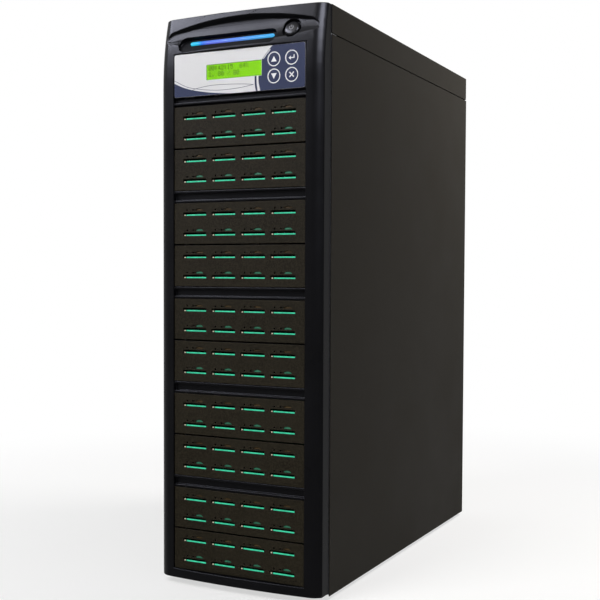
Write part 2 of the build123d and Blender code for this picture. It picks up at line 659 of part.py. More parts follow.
def side_panel():
    """Right side panel: joggled top edge behind the cover's strip, folded bottom, fold over the rear."""
    top = Z_STRIP - GROOVE
    hem0, hem1 = Y_SEAM + HEM_START, Y_REAR - PANEL_TRAVEL - SHEET
    behind = HALF_W - SHEET - FIT
    sheet = block(HALF_W - SHEET, HALF_W, Y_SEAM + FIT, Y_REAR + SHEET, Z_CASE, top)
    ledge = block(behind - SHEET, HALF_W, hem0, hem1, top - SHEET, top)
    tongue = block(behind - SHEET, behind, hem0, hem1, top - SHEET, top + HEM_W)
    hem = block(HALF_W - HEM_W, HALF_W, hem0, hem1, Z_CASE, Z_CASE + SHEET)
    fold = block(HALF_W - FLANGE_W, HALF_W, Y_REAR, Y_REAR + SHEET, Z_CASE + FLANGE_TRIM, top - FLANGE_TRIM)
    holes = thumb_rods(SHANK_R + SHANK_CLEAR, SHANK_FLATS, Y_REAR, Y_REAR + SHEET)
    return sheet + ledge + tongue + hem + fold - holes


def thumb_rods(radius, flats, y0, y1):
    """A many-sided rod on each right thumbscrew's axis, from y0 to y1."""
    return [flat_rod(radius, flats, THUMB_X, y0, y1, z) for z in thumb_heights()]


def thumbscrews():
    """Right side's captive thumbscrews: many-sided head and shank."""
    seat = Y_REAR + SHEET
    heads = thumb_rods(THUMB_R, THUMB_FLATS, seat, seat + THUMB_H)
    shanks = thumb_rods(SHANK_R, SHANK_FLATS, seat - SHANK_L, seat)
    return Compound(children=[head + shank for head, shank in zip(heads, shanks)])


def rubber_feet():
    """Four square feet under the base pan, narrower at the floor."""
    feet = []
    for x in (-HALF_W + FOOT_IN_X, HALF_W - FOOT_IN_X):
        for y in (Y_SEAM + FOOT_IN_Y, Y_REAR - FOOT_IN_Y):
            feet.append(extrude(Pos(x, y, Z_PAN) * Rectangle(FOOT_W, FOOT_W), -Z_PAN, taper=FOOT_TAPER))
    return Compound(children=feet)


def grille_slots(x, z, y0, y1):
    """Upright punched slots that fill a fan's circle."""
    reach = FAN_BORE_R - GRILLE_SLOT / 2
    count = int(reach / GRILLE_PITCH)
    slots = []
    for i in range(-count, count + 1):
        half = sqrt(reach**2 - (i * GRILLE_PITCH)**2)
        mid = x + i * GRILLE_PITCH
        slots.append(block(mid - GRILLE_SLOT / 2, mid + GRILLE_SLOT / 2, y0, y1, z - half, z + half))
    return slots


def rear_panel():
    """Rear sheet with fan grilles, power-supply window and the shelf under the power supply."""
    sheet = block(-INNER_HALF, INNER_HALF, Y_IN_REAR, Y_REAR, Z_PAN_TOP, Z_TOP - SHEET)
    edge = PSU_WINDOW_MARGIN
    window = block(-PSU_W / 2 + edge, PSU_W / 2 - edge, Y_IN_REAR, Y_REAR, Z_PSU + edge, Z_PSU + PSU_H - edge)
    shelf = block(-PSU_W / 2, PSU_W / 2, Y_IN_REAR - SHELF_D, Y_IN_REAR, Z_PSU - SHEET, Z_PSU)
    cuts = [window] + grille_slots(0, Z_FAN, Y_IN_REAR, Y_REAR)
    for hole in thumb_rods(SHANK_R + SHANK_CLEAR, SHANK_FLATS, Y_IN_REAR, Y_REAR):
        cuts += both_sides(hole)
    return sheet + shelf - cuts


def fan_frame(x, z, rear):
    """Square fan frame whose struts and motor plate face the rear."""
    front = rear - FAN_T
    frame = block(x - FAN / 2, x + FAN / 2, front, rear, z - FAN / 2, z + FAN / 2)
    frame = chamfer(frame.edges().filter_by(Axis.Y), FAN_CORNER)
    frame = frame - flat_rod(FAN_BORE_R / cos(pi / FAN_BORE_FLATS), FAN_BORE_FLATS, x, front, rear, z)
    strut = Box(2 * (FAN_BORE_R + STRUT_ROOT), MOTOR_T, STRUT_W)
    for angle in (45, 135):
        frame = frame + Pos(x, rear - MOTOR_T / 2, z) * Rot(0, angle, 0) * strut
    frame = frame + flat_rod(HUB_R, MOTOR_FLATS, x, rear - MOTOR_T, rear, z)
    return frame - rod(SHAFT_R + SHAFT_CLEAR, x, rear - MOTOR_T, rear - MOTOR_T + SHAFT_L + SHAFT_CLEAR, z)


def blade_blank():
    """One tilted blade along +X, cambered in three flats, from inside the hub to its flat tip."""
    reach = FAN_BORE_R - TIP_GAP
    tip = sqrt(reach**2 - (BLADE_CHORD / 2)**2)
    half, flat = BLADE_CHORD / 2, BLADE_FLAT / 2
    outer = [(-half, 0), (-flat, BLADE_CAMBER), (flat, BLADE_CAMBER), (half, 0)]
    inner = [(u, v - BLADE_T) for u, v in reversed(outer)]
    tilt = radians(BLADE_TILT)
    plane = Plane(origin=(tip, 0, 0), x_dir=(0, cos(tilt), sin(tilt)), z_dir=(-1, 0, 0))
    blade = extrude(plane * make_face(Polyline(*outer, *inner, close=True)), tip)
    return blade - Cylinder(HUB_R - BLADE_ROOT, FAN_T)


def fan_rotor(x, z, rear):
    """Hub with its shaft and cambered blades, running in a fan frame."""
    hub_back = rear - MOTOR_T - HUB_GAP
    hub = flat_rod(HUB_R, HUB_FLATS, x, hub_back - HUB_L, hub_back, z)
    hub = hub + rod(SHAFT_R, x, hub_back, rear - MOTOR_T + SHAFT_L, z)
    blade = blade_blank()
    for i in range(BLADES):
        turned = Rot(90, 0, 0) * (Rot(0, 0, i * 360 / BLADES) * blade)
        hub = hub + Pos(x, hub_back - HUB_L / 2, z) * turned
    return hub


def power_supply_case():
    """Steel box with a fan grille and cut-outs for the mains inlet and the switch."""
    rear = Y_IN_REAR
    outer = block(-PSU_W / 2, PSU_W / 2, rear - PSU_D, rear, Z_PSU, Z_PSU + PSU_H)
    inner = block(-PSU_W / 2 + SHEET, PSU_W / 2 - SHEET, rear - PSU_D + SHEET, rear - SHEET, Z_PSU + SHEET,
                  Z_PSU + PSU_H - SHEET)
    cuts = grille_slots(PSU_FAN_X, Z_PSU_MID, rear - SHEET, rear)
    cuts.append(inlet_block(rear - SHEET, rear, SNUG))
    cuts.append(switch_block(rear - SHEET, rear, SNUG))
    return outer - inner - cuts


def inlet_block(y0, y1, grow=0.0):
    """A block in the mains inlet's place."""
    z = Z_PSU_MID + INLET_Z
    return block(INLET_X - INLET_W / 2 - grow, INLET_X + INLET_W / 2 + grow, y0, y1,
                 z - INLET_H / 2 - grow, z + INLET_H / 2 + grow)


def mains_inlet():
    """Three-pin inlet: shroud with chamfered upper corners, flange and blades."""
    rear = Y_IN_REAR + INLET_FLANGE_T
    z = Z_PSU_MID + INLET_Z
    body = inlet_block(rear - INLET_D, rear) + inlet_block(Y_IN_REAR, rear, INLET_FLANGE)
    hollow = inlet_block(rear - INLET_D + INLET_WALL, rear, -INLET_WALL)
    hollow = chamfer(hollow.edges().filter_by(Axis.Y).sort_by(Axis.Z)[-2:], INLET_WALL)
    body = body - hollow
    floor = rear - INLET_D + INLET_WALL
    for x, lift in ((-PIN_PITCH / 2, PIN_Z), (0, EARTH_Z), (PIN_PITCH / 2, PIN_Z)):
        mid = z + lift
        body = body + block(INLET_X + x - PIN_W / 2, INLET_X + x + PIN_W / 2, floor - INLET_WALL / 2,
                            floor + PIN_L, mid - PIN_H / 2, mid + PIN_H / 2)
    return body


def switch_block(y0, y1, grow=0.0):
    """A block in the mains switch's place."""
    z = Z_PSU_MID + ROCKER_Z
    half_w = ROCKER_W / 2 + SWITCH_CLEAR + SWITCH_WALL
    half_h = ROCKER_H / 2 + 2 * SWITCH_CLEAR + SWITCH_WALL
    return block(ROCKER_X - half_w - grow, ROCKER_X + half_w + grow, y0, y1, z - half_h - grow, z + half_h + grow)


def switch_housing():
    """Housing of the mains switch, with a bore in each cheek for the rocker's pins."""
    rear = Y_IN_REAR + INLET_FLANGE_T
    body = switch_block(rear - SWITCH_D, rear) + switch_block(Y_IN_REAR, rear, INLET_FLANGE)
    body = body - switch_block(rear - SWITCH_D + SWITCH_WALL, rear, -SWITCH_WALL)
    y, z = rocker_axis()
    bore = Pos(ROCKER_X, y, z) * Rot(0, 90, 0)
    reach = ROCKER_W + 2 * SWITCH_CLEAR + 2 * ROCKER_PIN_L
    return body - bore * Cylinder(ROCKER_PIN_R + PIN_CLEAR, reach)


def rocker_axis():
    """Rocker's pivot: y and z."""
    return Y_IN_REAR + INLET_FLANGE_T - ROCKER_RISE / 2, Z_PSU_MID + ROCKER_Z


def rocker_switch():
    """Rocker with two sloping faces and a pivot pin, stored pressed at its lower end."""
    y, z = rocker_axis()
    half = ROCKER_H / 2
    keel = ROCKER_KEEL / 2
    side = make_face(Polyline((ROCKER_DIP, 0), (ROCKER_RISE, half), (0, half), (-ROCKER_BACK, keel),
                              (-ROCKER_BACK, -keel), (0, -half), (ROCKER_RISE, -half), close=True))
    place = Plane(origin=(-ROCKER_W / 2, 0, 0), x_dir=(0, 1, 0), z_dir=(1, 0, 0))
    paddle = extrude(place * side, ROCKER_W)
    pin = Rot(0, 90, 0) * Cylinder(ROCKER_PIN_R, ROCKER_W + 2 * SWITCH_CLEAR + 2 * ROCKER_PIN_L - FIT)
    return Pos(ROCKER_X, y, z) * Rot(-ROCKER_TILT, 0, 0) * (paddle + pin)


def all_parts():
    """Every sub-part under its node name."""
    right_plate, right_panel, right_screws = cage_plate(), side_panel(), thumbscrews()
    parts = {
        "chassis_frame": chassis_frame(),
        "rear_panel": rear_panel(),
        "top_cover": top_cover(),
        "right_side_panel": right_panel,
        "left_side_panel": mirror(right_panel, about=Plane.YZ),
        "right_panel_thumbscrews": right_screws,
        "left_panel_thumbscrews": mirror(right_screws, about=Plane.YZ),
        "rubber_feet": rubber_feet(),
        "front_bezel": front_bezel(),
        "drive_cage_right": right_plate,
        "drive_cage_left": mirror(right_plate, about=Plane.YZ),
        "module_screws": module_screws(),
        "light_bar_lens": light_bar_lens(),
        "light_bar_board": light_bar_board(),
        "power_button": power_button(),
        "power_switch": power_switch(),
        "controller_faceplate": controller_faceplate(),
        "controller_overlay": controller_overlay(),
        "lcd_window": lcd_block(Y_FACE - OVERLAY_T, Y_FACE - OVERLAY_T + LENS_T),
        "lcd_module": lcd_module(),
        "controller_board": controller_board(),
        "wiring_harness": wiring_harness(),
        "power_supply_case": power_supply_case(),
        "psu_fan_frame": fan_frame(PSU_FAN_X, Z_PSU_MID, Y_IN_REAR - SHEET),
        "psu_fan_rotor": fan_rotor(PSU_FAN_X, Z_PSU_MID, Y_IN_REAR - SHEET),
        "rear_fan_frame": fan_frame(0, Z_FAN, Y_IN_REAR),
        "rear_fan_rotor": fan_rotor(0, Z_FAN, Y_IN_REAR),
        "mains_inlet": mains_inlet(),
        "switch_housing": switch_housing(),
        "rocker_switch": rocker_switch(),
    }
    for name in KEYS:
        parts[name] = key(name)
    for index in range(1, 2 * PAIR_COUNT + 1):
        parts[f"reader_faceplate_{index:02d}"] = reader_faceplate(index)
        parts[f"reader_boards_{index:02d}"] = reader_boards(index)
    for pair in range(1, PAIR_COUNT + 1):
        parts[f"card_sockets_pair_{pair}"] = card_sockets(pair)
    return parts


if __name__ == "__main__":
    os.makedirs("parts", exist_ok=True)
    for node, shape in all_parts().items():
        export_step(shape, f"parts/{node}.step")
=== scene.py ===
"""Dressed model of an sd card duplicator tower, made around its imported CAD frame."""
import json
from functools import wraps
from math import asin, cos, pi, radians, sin

import bmesh
import bpy
from bpy.props import FloatProperty, FloatVectorProperty, PointerProperty
from mathutils import Matrix, Vector

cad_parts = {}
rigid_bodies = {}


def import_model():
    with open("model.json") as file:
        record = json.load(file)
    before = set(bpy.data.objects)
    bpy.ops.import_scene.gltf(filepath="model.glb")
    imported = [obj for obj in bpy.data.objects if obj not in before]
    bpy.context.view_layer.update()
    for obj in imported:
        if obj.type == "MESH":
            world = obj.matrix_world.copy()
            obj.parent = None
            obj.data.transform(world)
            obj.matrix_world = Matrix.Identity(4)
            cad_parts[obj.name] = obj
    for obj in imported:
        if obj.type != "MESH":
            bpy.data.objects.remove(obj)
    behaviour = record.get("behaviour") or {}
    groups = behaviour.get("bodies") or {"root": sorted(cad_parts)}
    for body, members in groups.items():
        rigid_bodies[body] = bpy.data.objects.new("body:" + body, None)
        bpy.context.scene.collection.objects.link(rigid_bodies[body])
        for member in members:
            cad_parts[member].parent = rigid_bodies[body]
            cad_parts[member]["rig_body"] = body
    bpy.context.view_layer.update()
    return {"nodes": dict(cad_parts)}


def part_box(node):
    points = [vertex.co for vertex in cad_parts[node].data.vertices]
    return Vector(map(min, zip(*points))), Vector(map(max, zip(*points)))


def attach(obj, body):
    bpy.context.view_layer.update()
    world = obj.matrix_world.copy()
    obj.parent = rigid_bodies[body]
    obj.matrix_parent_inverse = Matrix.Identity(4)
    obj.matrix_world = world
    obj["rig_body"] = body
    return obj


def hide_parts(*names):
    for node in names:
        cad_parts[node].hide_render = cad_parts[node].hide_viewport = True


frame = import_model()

bl_info = {
    "name": "SD Card Duplicator",
    "version": (1, 0, 0),
    "blender": (4, 5, 0),
    "location": "3D View > Sidebar > Duplicator",
    "description": "Builds the dressed model of an sd card duplicator tower",
    "category": "Object",
}

MM = 0.001

# Making and smoothing of meshes
SMOOTH_ANGLE = radians(38)
FLAT_SHADE = radians(20)
FLAT_ANGLE = radians(0.4)
MERGE = 0.001 * MM
ROUND = 48

# Shading that all finishes share
FLECK_GAIN, FLECK_LIFT = 1.6, 0.002
ROUGH_SPREAD = 0.3
BUMP_STRENGTH = 0.6

# Reader faceplates
FACE_LOW, FACE_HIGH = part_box("reader_faceplate_01")
FACE_T = 2.5 * MM
SLIT_W, SLIT_H = 27.0 * MM, 3.4 * MM
SLIT_PITCH = 33.4 * MM
SLIT_XS = [step * SLIT_PITCH for step in (-1.5, -0.5, 0.5, 1.5)]
SLIT_DROPS = (10.9 * MM, 30.9 * MM)
WINDOW_W, WINDOW_H = 9.2 * MM, 2.3 * MM
WINDOW_SHIFT, WINDOW_RISE = 5.4 * MM, 3.0 * MM
DOT_R = 0.9 * MM
DOT_XS = (-8.9 * MM, -1.9 * MM)
CHANNEL_H = 0.5 * MM
READERS = [f"{number:02d}" for number in range(1, 11)]
SOCKET_PAIRS = range(1, 6)

# Control panel
FILM_LOW, FILM_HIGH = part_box("controller_overlay")
GLASS_LOW, GLASS_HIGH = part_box("lcd_window")
HOLE_R = 7.25 * MM
FILM_R = 2.2 * MM
INK_T = 0.03 * MM

# Scoop of the brow, which carries the light bar and the power button
BROW_Z = 531.1 * MM
SCOOP_R = 36.0 * MM
SCOOP_D = 7.5 * MM
SCOOP_AXIS = 28.9 * MM
BUTTON_AT = (56.6 * MM, 14.6 * MM)
LIGHT_AT = (-14.2 * MM, 9.5 * MM)

# Signs of the keys, in millimetres from the key's middle
KEY_SIGNS = {
    "key_up": [(-3.0, -2.5), (3.0, -2.5), (0.0, 2.7)],
    "key_down": [(-3.0, 2.5), (3.0, 2.5), (0.0, -2.7)],
    "key_enter": [(3.0, 2.4), (2.0, 2.4), (2.0, 0.1), (-0.9, 0.1), (-0.9, 1.5), (-3.3, -0.4),
                  (-0.9, -2.3), (-0.9, -0.9), (3.0, -0.9)],
    "key_escape": [(0.0, 0.85), (1.9, 2.75), (2.75, 1.9), (0.85, 0.0), (2.75, -1.9), (1.9, -2.75),
                   (0.0, -0.85), (-1.9, -2.75), (-2.75, -1.9), (-0.85, 0.0), (-2.75, 1.9), (-1.9, 2.75)],
}

# Five by seven dots of the display's signs, one number for each row of dots
SIGN_COLUMNS = 5
SIGNS = {
    "0": (14, 17, 19, 21, 25, 17, 14), "1": (4, 12, 4, 4, 4, 4, 14), "2": (14, 17, 1, 2, 4, 8, 31),
    "3": (31, 2, 4, 2, 1, 17, 14), "4": (2, 6, 10, 18, 31, 2, 2), "5": (31, 16, 30, 1, 1, 17, 14),
    "6": (6, 8, 16, 30, 17, 17, 14), "7": (31, 1, 2, 4, 8, 8, 8), "8": (14, 17, 17, 14, 17, 17, 14),
    "9": (14, 17, 17, 15, 1, 2, 12), ":": (0, 12, 12, 0, 12, 12, 0), ".": (0, 0, 0, 0, 0, 12, 12),
    "/": (0, 1, 2, 4, 8, 16, 0), "%": (24, 25, 2, 4, 8, 19, 3), " ": (0, 0, 0, 0, 0, 0, 0),
}
DISPLAY_ROWS = ("00:42:15  64%", "1. 80 / 80")


# Settings that a user can change

def length_property(name, description, value, least=0.0):
    """A length."""
    return FloatProperty(name=name, description=description, default=value, min=least, unit="LENGTH")


def power_property(name, description, value):
    """A lamp's power."""
    return FloatProperty(name=name, description=description, default=value, min=0.0, unit="POWER")


def colour_property(name, description, value):
    """A colour."""
    return FloatVectorProperty(name=name, description=description, subtype="COLOR", size=3, min=0.0,
                               max=1.0, default=value)


class TowerSizes(bpy.types.PropertyGroup):
    """Sizes of the tower's finish."""

    sheet_edge: length_property("Sheet edge", "Rounding of the case's sheet edges", 0.4 * MM)
    moulded_edge: length_property("Moulded edge", "Rounding of the front bezel's edges", 0.7 * MM)
    plate_edge: length_property("Faceplate edge", "Rounding of the reader faceplates' edges", 0.25 * MM)
    grain: length_property("Moulded grain", "Width of the fine grain on moulded plastic", 1.2 * MM,
                           least=0.1 * MM)
    dot_gap: length_property("Display dot gap", "Gap between two dots of the display", 0.01 * MM)


class TowerColours(bpy.types.PropertyGroup):
    """Colours of the tower's finishes."""

    powder_coat: colour_property("Powder coat", "Case sheets", (0.0195, 0.0178, 0.0150))
    bezel: colour_property("Bezel", "Moulded front", (0.0034, 0.0034, 0.0042))
    faceplate: colour_property("Faceplate", "Reader faceplates", (0.0138, 0.0113, 0.0064))
    film: colour_property("Film", "Control panel's film", (0.70, 0.70, 0.715))
    ink: colour_property("Ink", "Dark print on the film and the keys", (0.035, 0.044, 0.094))
    display: colour_property("Display", "Lit ground of the display", (0.26, 0.66, 0.003))
    # Colour of the painted glow on the socket lip in each card slit; the lip is no lamp
    strip: colour_property("Card strip", "Lit strip in each card slit", (0.05, 0.58, 0.33))


class TowerStage(bpy.types.PropertyGroup):
    """Light of the stage."""

    room_light: FloatProperty(name="Room light", description="Strength of the even light from all round",
                              default=0.3, min=0.0)
    front_light: power_property("Front light", "Power of the soft lamp in front", 24.0)
    side_light: power_property("Side light", "Power of the lamp behind the right side", 7.0)
    brow_gloss: power_property("Brow gloss", "Power of the card of light over the brow", 170.0)
    corner_gloss: power_property("Corner gloss", "Power of the card by the front corner", 130.0)


def colours():
    """The user's colours."""
    return bpy.context.scene.tower_colours


def sizes():
    """The user's sizes."""
    return bpy.context.scene.tower_sizes


# Node helpers

def add_node(tree, kind, inputs=None, **settings):
    """Add a node; each input takes a number, a colour or another node's output."""
    made = tree.nodes.new(kind)
    for key, value in settings.items():
        setattr(made, key, value)
    for key, value in (inputs or {}).items():
        socket = made.inputs[key]
        if isinstance(value, bpy.types.NodeSocket):
            tree.links.new(value, socket)
        else:
            socket.default_value = value
    return made


def use_group(tree, group, **inputs):
    """Place a node group in a material, with its own values."""
    return add_node(tree, "ShaderNodeGroup", inputs, node_tree=group)


def calculate(tree, operation, first, second=0.0):
    """Result of one Math node."""
    return add_node(tree, "ShaderNodeMath", {0: first, 1: second}, operation=operation).outputs[0]


def remap(tree, value, low, high, start=0.0, stop=1.0, **settings):
    """A value's place between two limits, given as a number between two others."""
    inputs = {"Value": value, "From Min": low, "From Max": high, "To Min": start, "To Max": stop}
    return add_node(tree, "ShaderNodeMapRange", inputs, **settings).outputs[0]


def blend_colours(tree, share, first, second):
    """Colour between two others."""
    made = add_node(tree, "ShaderNodeMix", {0: share, 6: first, 7: second}, data_type="RGBA")
    return made.outputs[2]


def object_place(tree):
    """Object coordinates, which hold a pattern still on its piece."""
    return add_node(tree, "ShaderNodeTexCoord").outputs["Object"]


def noise(tree, scale, detail, place=None, **inputs):
    """Cloudy noise from nought to one."""
    inputs |= {"Vector": place or object_place(tree), "Scale": scale, "Detail": detail}
    return add_node(tree, "ShaderNodeTexNoise", inputs).outputs["Fac"]


def made_once(name):
    """Let a function build its node group only where the file doesn't have it yet."""
    def keep(build):
        @wraps(build)
        def give():
            return bpy.data.node_groups.get(name) or build(name)
        return give
    return keep


def new_group(name, kind, inputs, outputs):
    """An empty node group with named sockets; gives the group, its input node and its output node."""
    group = bpy.data.node_groups.new(name, kind)
    for label, socket, value in inputs:
        made = group.interface.new_socket(label, in_out="INPUT", socket_type=socket)
        if value is not None:
            made.default_value = value
    for label, socket in outputs:
        group.interface.new_socket(label, in_out="OUTPUT", socket_type=socket)
    return group, group.nodes.new("NodeGroupInput"), group.nodes.new("NodeGroupOutput")


def put_out(group, sink, **results):
    """Link results to a group's outputs and give the group."""
    for label, result in results.items():
        group.links.new(result, sink.inputs[label])
    return group


# Effects that several finishes share

@made_once("Fine grain")
def fine_grain_group(name):
    """Spark-eroded grain of moulded plastic and powder coat."""
    group, source, sink = new_group(name, "ShaderNodeTree", [("Grain", "NodeSocketFloat", MM)],
                                    [("Height", "NodeSocketFloat"), ("Fleck", "NodeSocketFloat")])
    cell_height, fleck_start, fleck_full = 0.5, 0.42, 0.66
    scale = calculate(group, "DIVIDE", 1.0, source.outputs["Grain"])
    coarse = noise(group, scale, detail=2.0, Roughness=0.6)
    cells = add_node(group, "ShaderNodeTexVoronoi", {"Vector": object_place(group), "Scale": scale})
    raised = calculate(group, "MULTIPLY", cells.outputs["Distance"], cell_height)
    return put_out(group, sink, Height=calculate(group, "ADD", coarse, raised),
                   Fleck=remap(group, coarse, fleck_start, fleck_full))


@made_once("Uneven tone")
def uneven_tone_group(name):
    """Slow change of tone over a large surface."""
    group, source, sink = new_group(name, "ShaderNodeTree", [
        ("Colour", "NodeSocketColor", (0.5, 0.5, 0.5, 1.0)), ("Spread", "NodeSocketFloat", 0.2),
        ("Size", "NodeSocketFloat", 60 * MM)],
        [("Colour", "NodeSocketColor"), ("Share", "NodeSocketFloat")])
    noise_middle = 0.5
    scale = calculate(group, "DIVIDE", 1.0, source.outputs["Size"])
    cloud = noise(group, scale, detail=3.0)
    share = calculate(group, "SUBTRACT", cloud, noise_middle)
    gain = calculate(group, "ADD", calculate(group, "MULTIPLY", share, source.outputs["Spread"]), 1.0)
    scaled = add_node(group, "ShaderNodeVectorMath", {0: source.outputs["Colour"], "Scale": gain},
                      operation="SCALE")
    return put_out(group, sink, Colour=scaled.outputs[0], Share=share)


@made_once("Worn edges")
def worn_edge_group(name):
    """Mask of the rounded edges, broken up by noise."""
    group, source, sink = new_group(name, "ShaderNodeTree", [("Reach", "NodeSocketFloat", 0.6 * MM)],
                                    [("Mask", "NodeSocketFloat")])
    flat, bent = 0.995, 0.85
    patches, kept_from, kept_to = 220.0, 0.35, 0.7
    rounded = add_node(group, "ShaderNodeBevel", {"Radius": source.outputs["Reach"]}, samples=4)
    straight = add_node(group, "ShaderNodeNewGeometry").outputs["True Normal"]
    same = add_node(group, "ShaderNodeVectorMath", {0: rounded.outputs[0], 1: straight},
                    operation="DOT_PRODUCT").outputs["Value"]
    kept = remap(group, noise(group, patches, detail=3.0), kept_from, kept_to)
    return put_out(group, sink, Mask=calculate(group, "MULTIPLY", remap(group, same, flat, bent), kept))


@made_once("Rolling streaks")
def streak_group(name):
    """Rolling streaks of bare sheet metal."""
    group, source, sink = new_group(name, "ShaderNodeTree", [("Width", "NodeSocketFloat", 0.4 * MM)],
                                    [("Height", "NodeSocketFloat")])
    drawn_out = (1.0, 1.0, 0.03)
    scale = calculate(group, "DIVIDE", 1.0, source.outputs["Width"])
    place = add_node(group, "ShaderNodeMapping", {"Vector": object_place(group), "Scale": drawn_out})
    return put_out(group, sink, Height=noise(group, scale, detail=2.0, place=place.outputs[0]))


def surface(name, colour, *, roughness, specular=0.3, metallic=0.0, grain=MM, depth=0.05 * MM,
            fleck=0.3, spread=0.3, wear=0.0, wear_colour=(0.2, 0.2, 0.2), streaks=0.0):
    """A material with fine grain, uneven tone and worn edges, each in its own measure."""
    if name in bpy.data.materials:
        return bpy.data.materials[name]
    material = bpy.data.materials.new(name)
    material.use_nodes = True
    tree = material.node_tree
    shader = tree.nodes["Principled BSDF"]
    shader.inputs["Metallic"].default_value = metallic
    shader.inputs["Specular IOR Level"].default_value = specular
    tone = use_group(tree, uneven_tone_group(), Colour=(*colour, 1.0), Spread=spread)
    fine = use_group(tree, fine_grain_group(), Grain=grain)
    lighter = [min(1.0, value * FLECK_GAIN + FLECK_LIFT) for value in colour]
    share = calculate(tree, "MULTIPLY", fine.outputs["Fleck"], fleck)
    shown = blend_colours(tree, share, tone.outputs["Colour"], (*lighter, 1.0))
    if wear:
        worn = calculate(tree, "MULTIPLY", use_group(tree, worn_edge_group()).outputs["Mask"], wear)
        shown = blend_colours(tree, worn, shown, (*wear_colour, 1.0))
    tree.links.new(shown, shader.inputs["Base Color"])
    rough = add_node(tree, "ShaderNodeMath", {0: tone.outputs["Share"], 1: ROUGH_SPREAD, 2: roughness},
                     operation="MULTIPLY_ADD")
    tree.links.new(rough.outputs[0], shader.inputs["Roughness"])
    height = fine.outputs["Height"]
    if streaks:
        lines = calculate(tree, "MULTIPLY", use_group(tree, streak_group()).outputs["Height"], streaks)
        height = calculate(tree, "ADD", height, lines)
    bump = add_node(tree, "ShaderNodeBump", {"Height": height, "Distance": depth,
                                             "Strength": BUMP_STRENGTH})
    tree.links.new(bump.outputs[0], shader.inputs["Normal"])
    return material


def glow(name, colour, *, strength, roughness=0.3, spread=0.25, size=20 * MM):
    """A lit translucent plastic, a little uneven in brightness."""
    if name in bpy.data.materials:
        return bpy.data.materials[name]
    unlit_share = 0.3
    material = surface(name, [value * unlit_share for value in colour], roughness=roughness,
                       specular=0.05, depth=0.01 * MM)
    tree = material.node_tree
    shader = tree.nodes["Principled BSDF"]
    tone = use_group(tree, uneven_tone_group(), Colour=(*colour, 1.0), Spread=spread, Size=size)
    tree.links.new(tone.outputs["Colour"], shader.inputs["Emission Color"])
    shader.inputs["Emission Strength"].default_value = strength
    return material


# Finishes that several pieces share

def powder_coat():
    """Fine-textured dark powder coat on the case sheets."""
    return surface("black_powder_coat", colours().powder_coat, roughness=0.45, specular=0.009,
                   grain=0.55 * MM, fleck=0.35, spread=0.25, wear=0.35,
                   wear_colour=(0.09, 0.085, 0.08))


def bezel_plastic():
    """Satin black moulded plastic of the front."""
    return surface("satin_black", colours().bezel, roughness=0.33, specular=0.034, grain=0.5 * MM,
                   depth=0.012 * MM, fleck=0.15, wear=0.25, wear_colour=(0.05, 0.05, 0.058))


def faceplate_plastic():
    """Grained brown-black plastic of the reader faceplates."""
    return surface("faceplate_plastic", colours().faceplate, roughness=0.62, specular=0.02,
                   grain=sizes().grain, depth=0.2 * MM, fleck=1.3, spread=0.9, wear=0.45,
                   wear_colour=(0.06, 0.05, 0.042))


def board_lacquer():
    """Green lacquer of the circuit boards."""
    return surface("board_lacquer", (0.012, 0.11, 0.05), roughness=0.4, specular=0.4, grain=2 * MM,
                   depth=0.02 * MM, spread=0.5)


def plated_sheet():
    """Zinc-plated sheet of the inner frame and the rear."""
    return surface("plated_sheet", (0.36, 0.37, 0.38), roughness=0.38, metallic=1.0, grain=3 * MM,
                   depth=0.01 * MM, streaks=0.6)


def screw_metal():
    """Plated steel of the screws."""
    return surface("screw_metal", (0.5, 0.5, 0.52), roughness=0.28, metallic=1.0, depth=0.006 * MM)


def matt_black():
    """Moulded black plastic of the fans, the inlet and the switch."""
    return surface("matt_black", (0.012, 0.012, 0.013), roughness=0.5, specular=0.08,
                   grain=0.6 * MM, depth=0.02 * MM)


def white_print():
    """White ink."""
    return surface("white_print", (0.72, 0.72, 0.73), roughness=0.45, grain=0.4 * MM,
                   depth=0.002 * MM, fleck=0.1, spread=0.06)


def dark_print():
    """Dark blue ink."""
    return surface("dark_print", colours().ink, roughness=0.42, specular=0.03, grain=0.5 * MM,
                   depth=0.004 * MM, fleck=0.25, spread=0.12)


# Outlines and places

def front_plane(y):
    """Matrix of an upright plane that faces the front: across, up, and outwards."""
    return Matrix(((1, 0, 0, 0), (0, 0, -1, y), (0, 1, 0, 0), (0, 0, 0, 1)))


def scoop_plane(x, height):
    """Matrix of a plane on the brow's hollow: across, up the slope, and outwards."""
    slope = asin((SCOOP_AXIS - height) / SCOOP_R)
    y = FACE_LOW.y + SCOOP_D - SCOOP_R + SCOOP_R * cos(slope)
    return Matrix(((1, 0, 0, x), (0, sin(slope), -cos(slope), y),
                   (0, cos(slope), sin(slope), BROW_Z + height), (0, 0, 0, 1)))


def middle_of(node):
    """Middle of a node as seen from the front: x and z."""
    low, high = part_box(node)
    return (low.x + high.x) / 2, (low.z + high.z) / 2


def in_mm(points):
    """Points given in millimetres, in metres."""
    return [(u * MM, v * MM) for u, v in points]


def rectangle(u0, u1, v0, v1, corner=0.0, steps=4):
    """Outline of a rectangle, with its corners rounded where a radius is given."""
    if not corner:
        return [(u0, v0), (u1, v0), (u1, v1), (u0, v1)]
    outline = []
    for u, v, turn in ((u1, v0, -0.5), (u1, v1, 0.0), (u0, v1, 0.5), (u0, v0, 1.0)):
        cu = u - corner if u == u1 else u + corner
        cv = v - corner if v == v1 else v + corner
        for i in range(steps + 1):
            angle = pi * (turn + 0.5 * i / steps)
            outline.append((cu + corner * cos(angle), cv + corner * sin(angle)))
    return outline


def circle(u, v, radius, steps=ROUND):
    """Outline of a circle."""
    angles = [2 * pi * i / steps for i in range(steps)]
    return [(u + radius * cos(angle), v + radius * sin(angle)) for angle in angles]


def half_oval(middle, base, width, height, steps=12):
    """Outline of a half oval that stands on its flat side."""
    return [(middle + width / 2 * cos(pi * i / steps), base + height * sin(pi * i / steps))
            for i in range(steps + 1)]


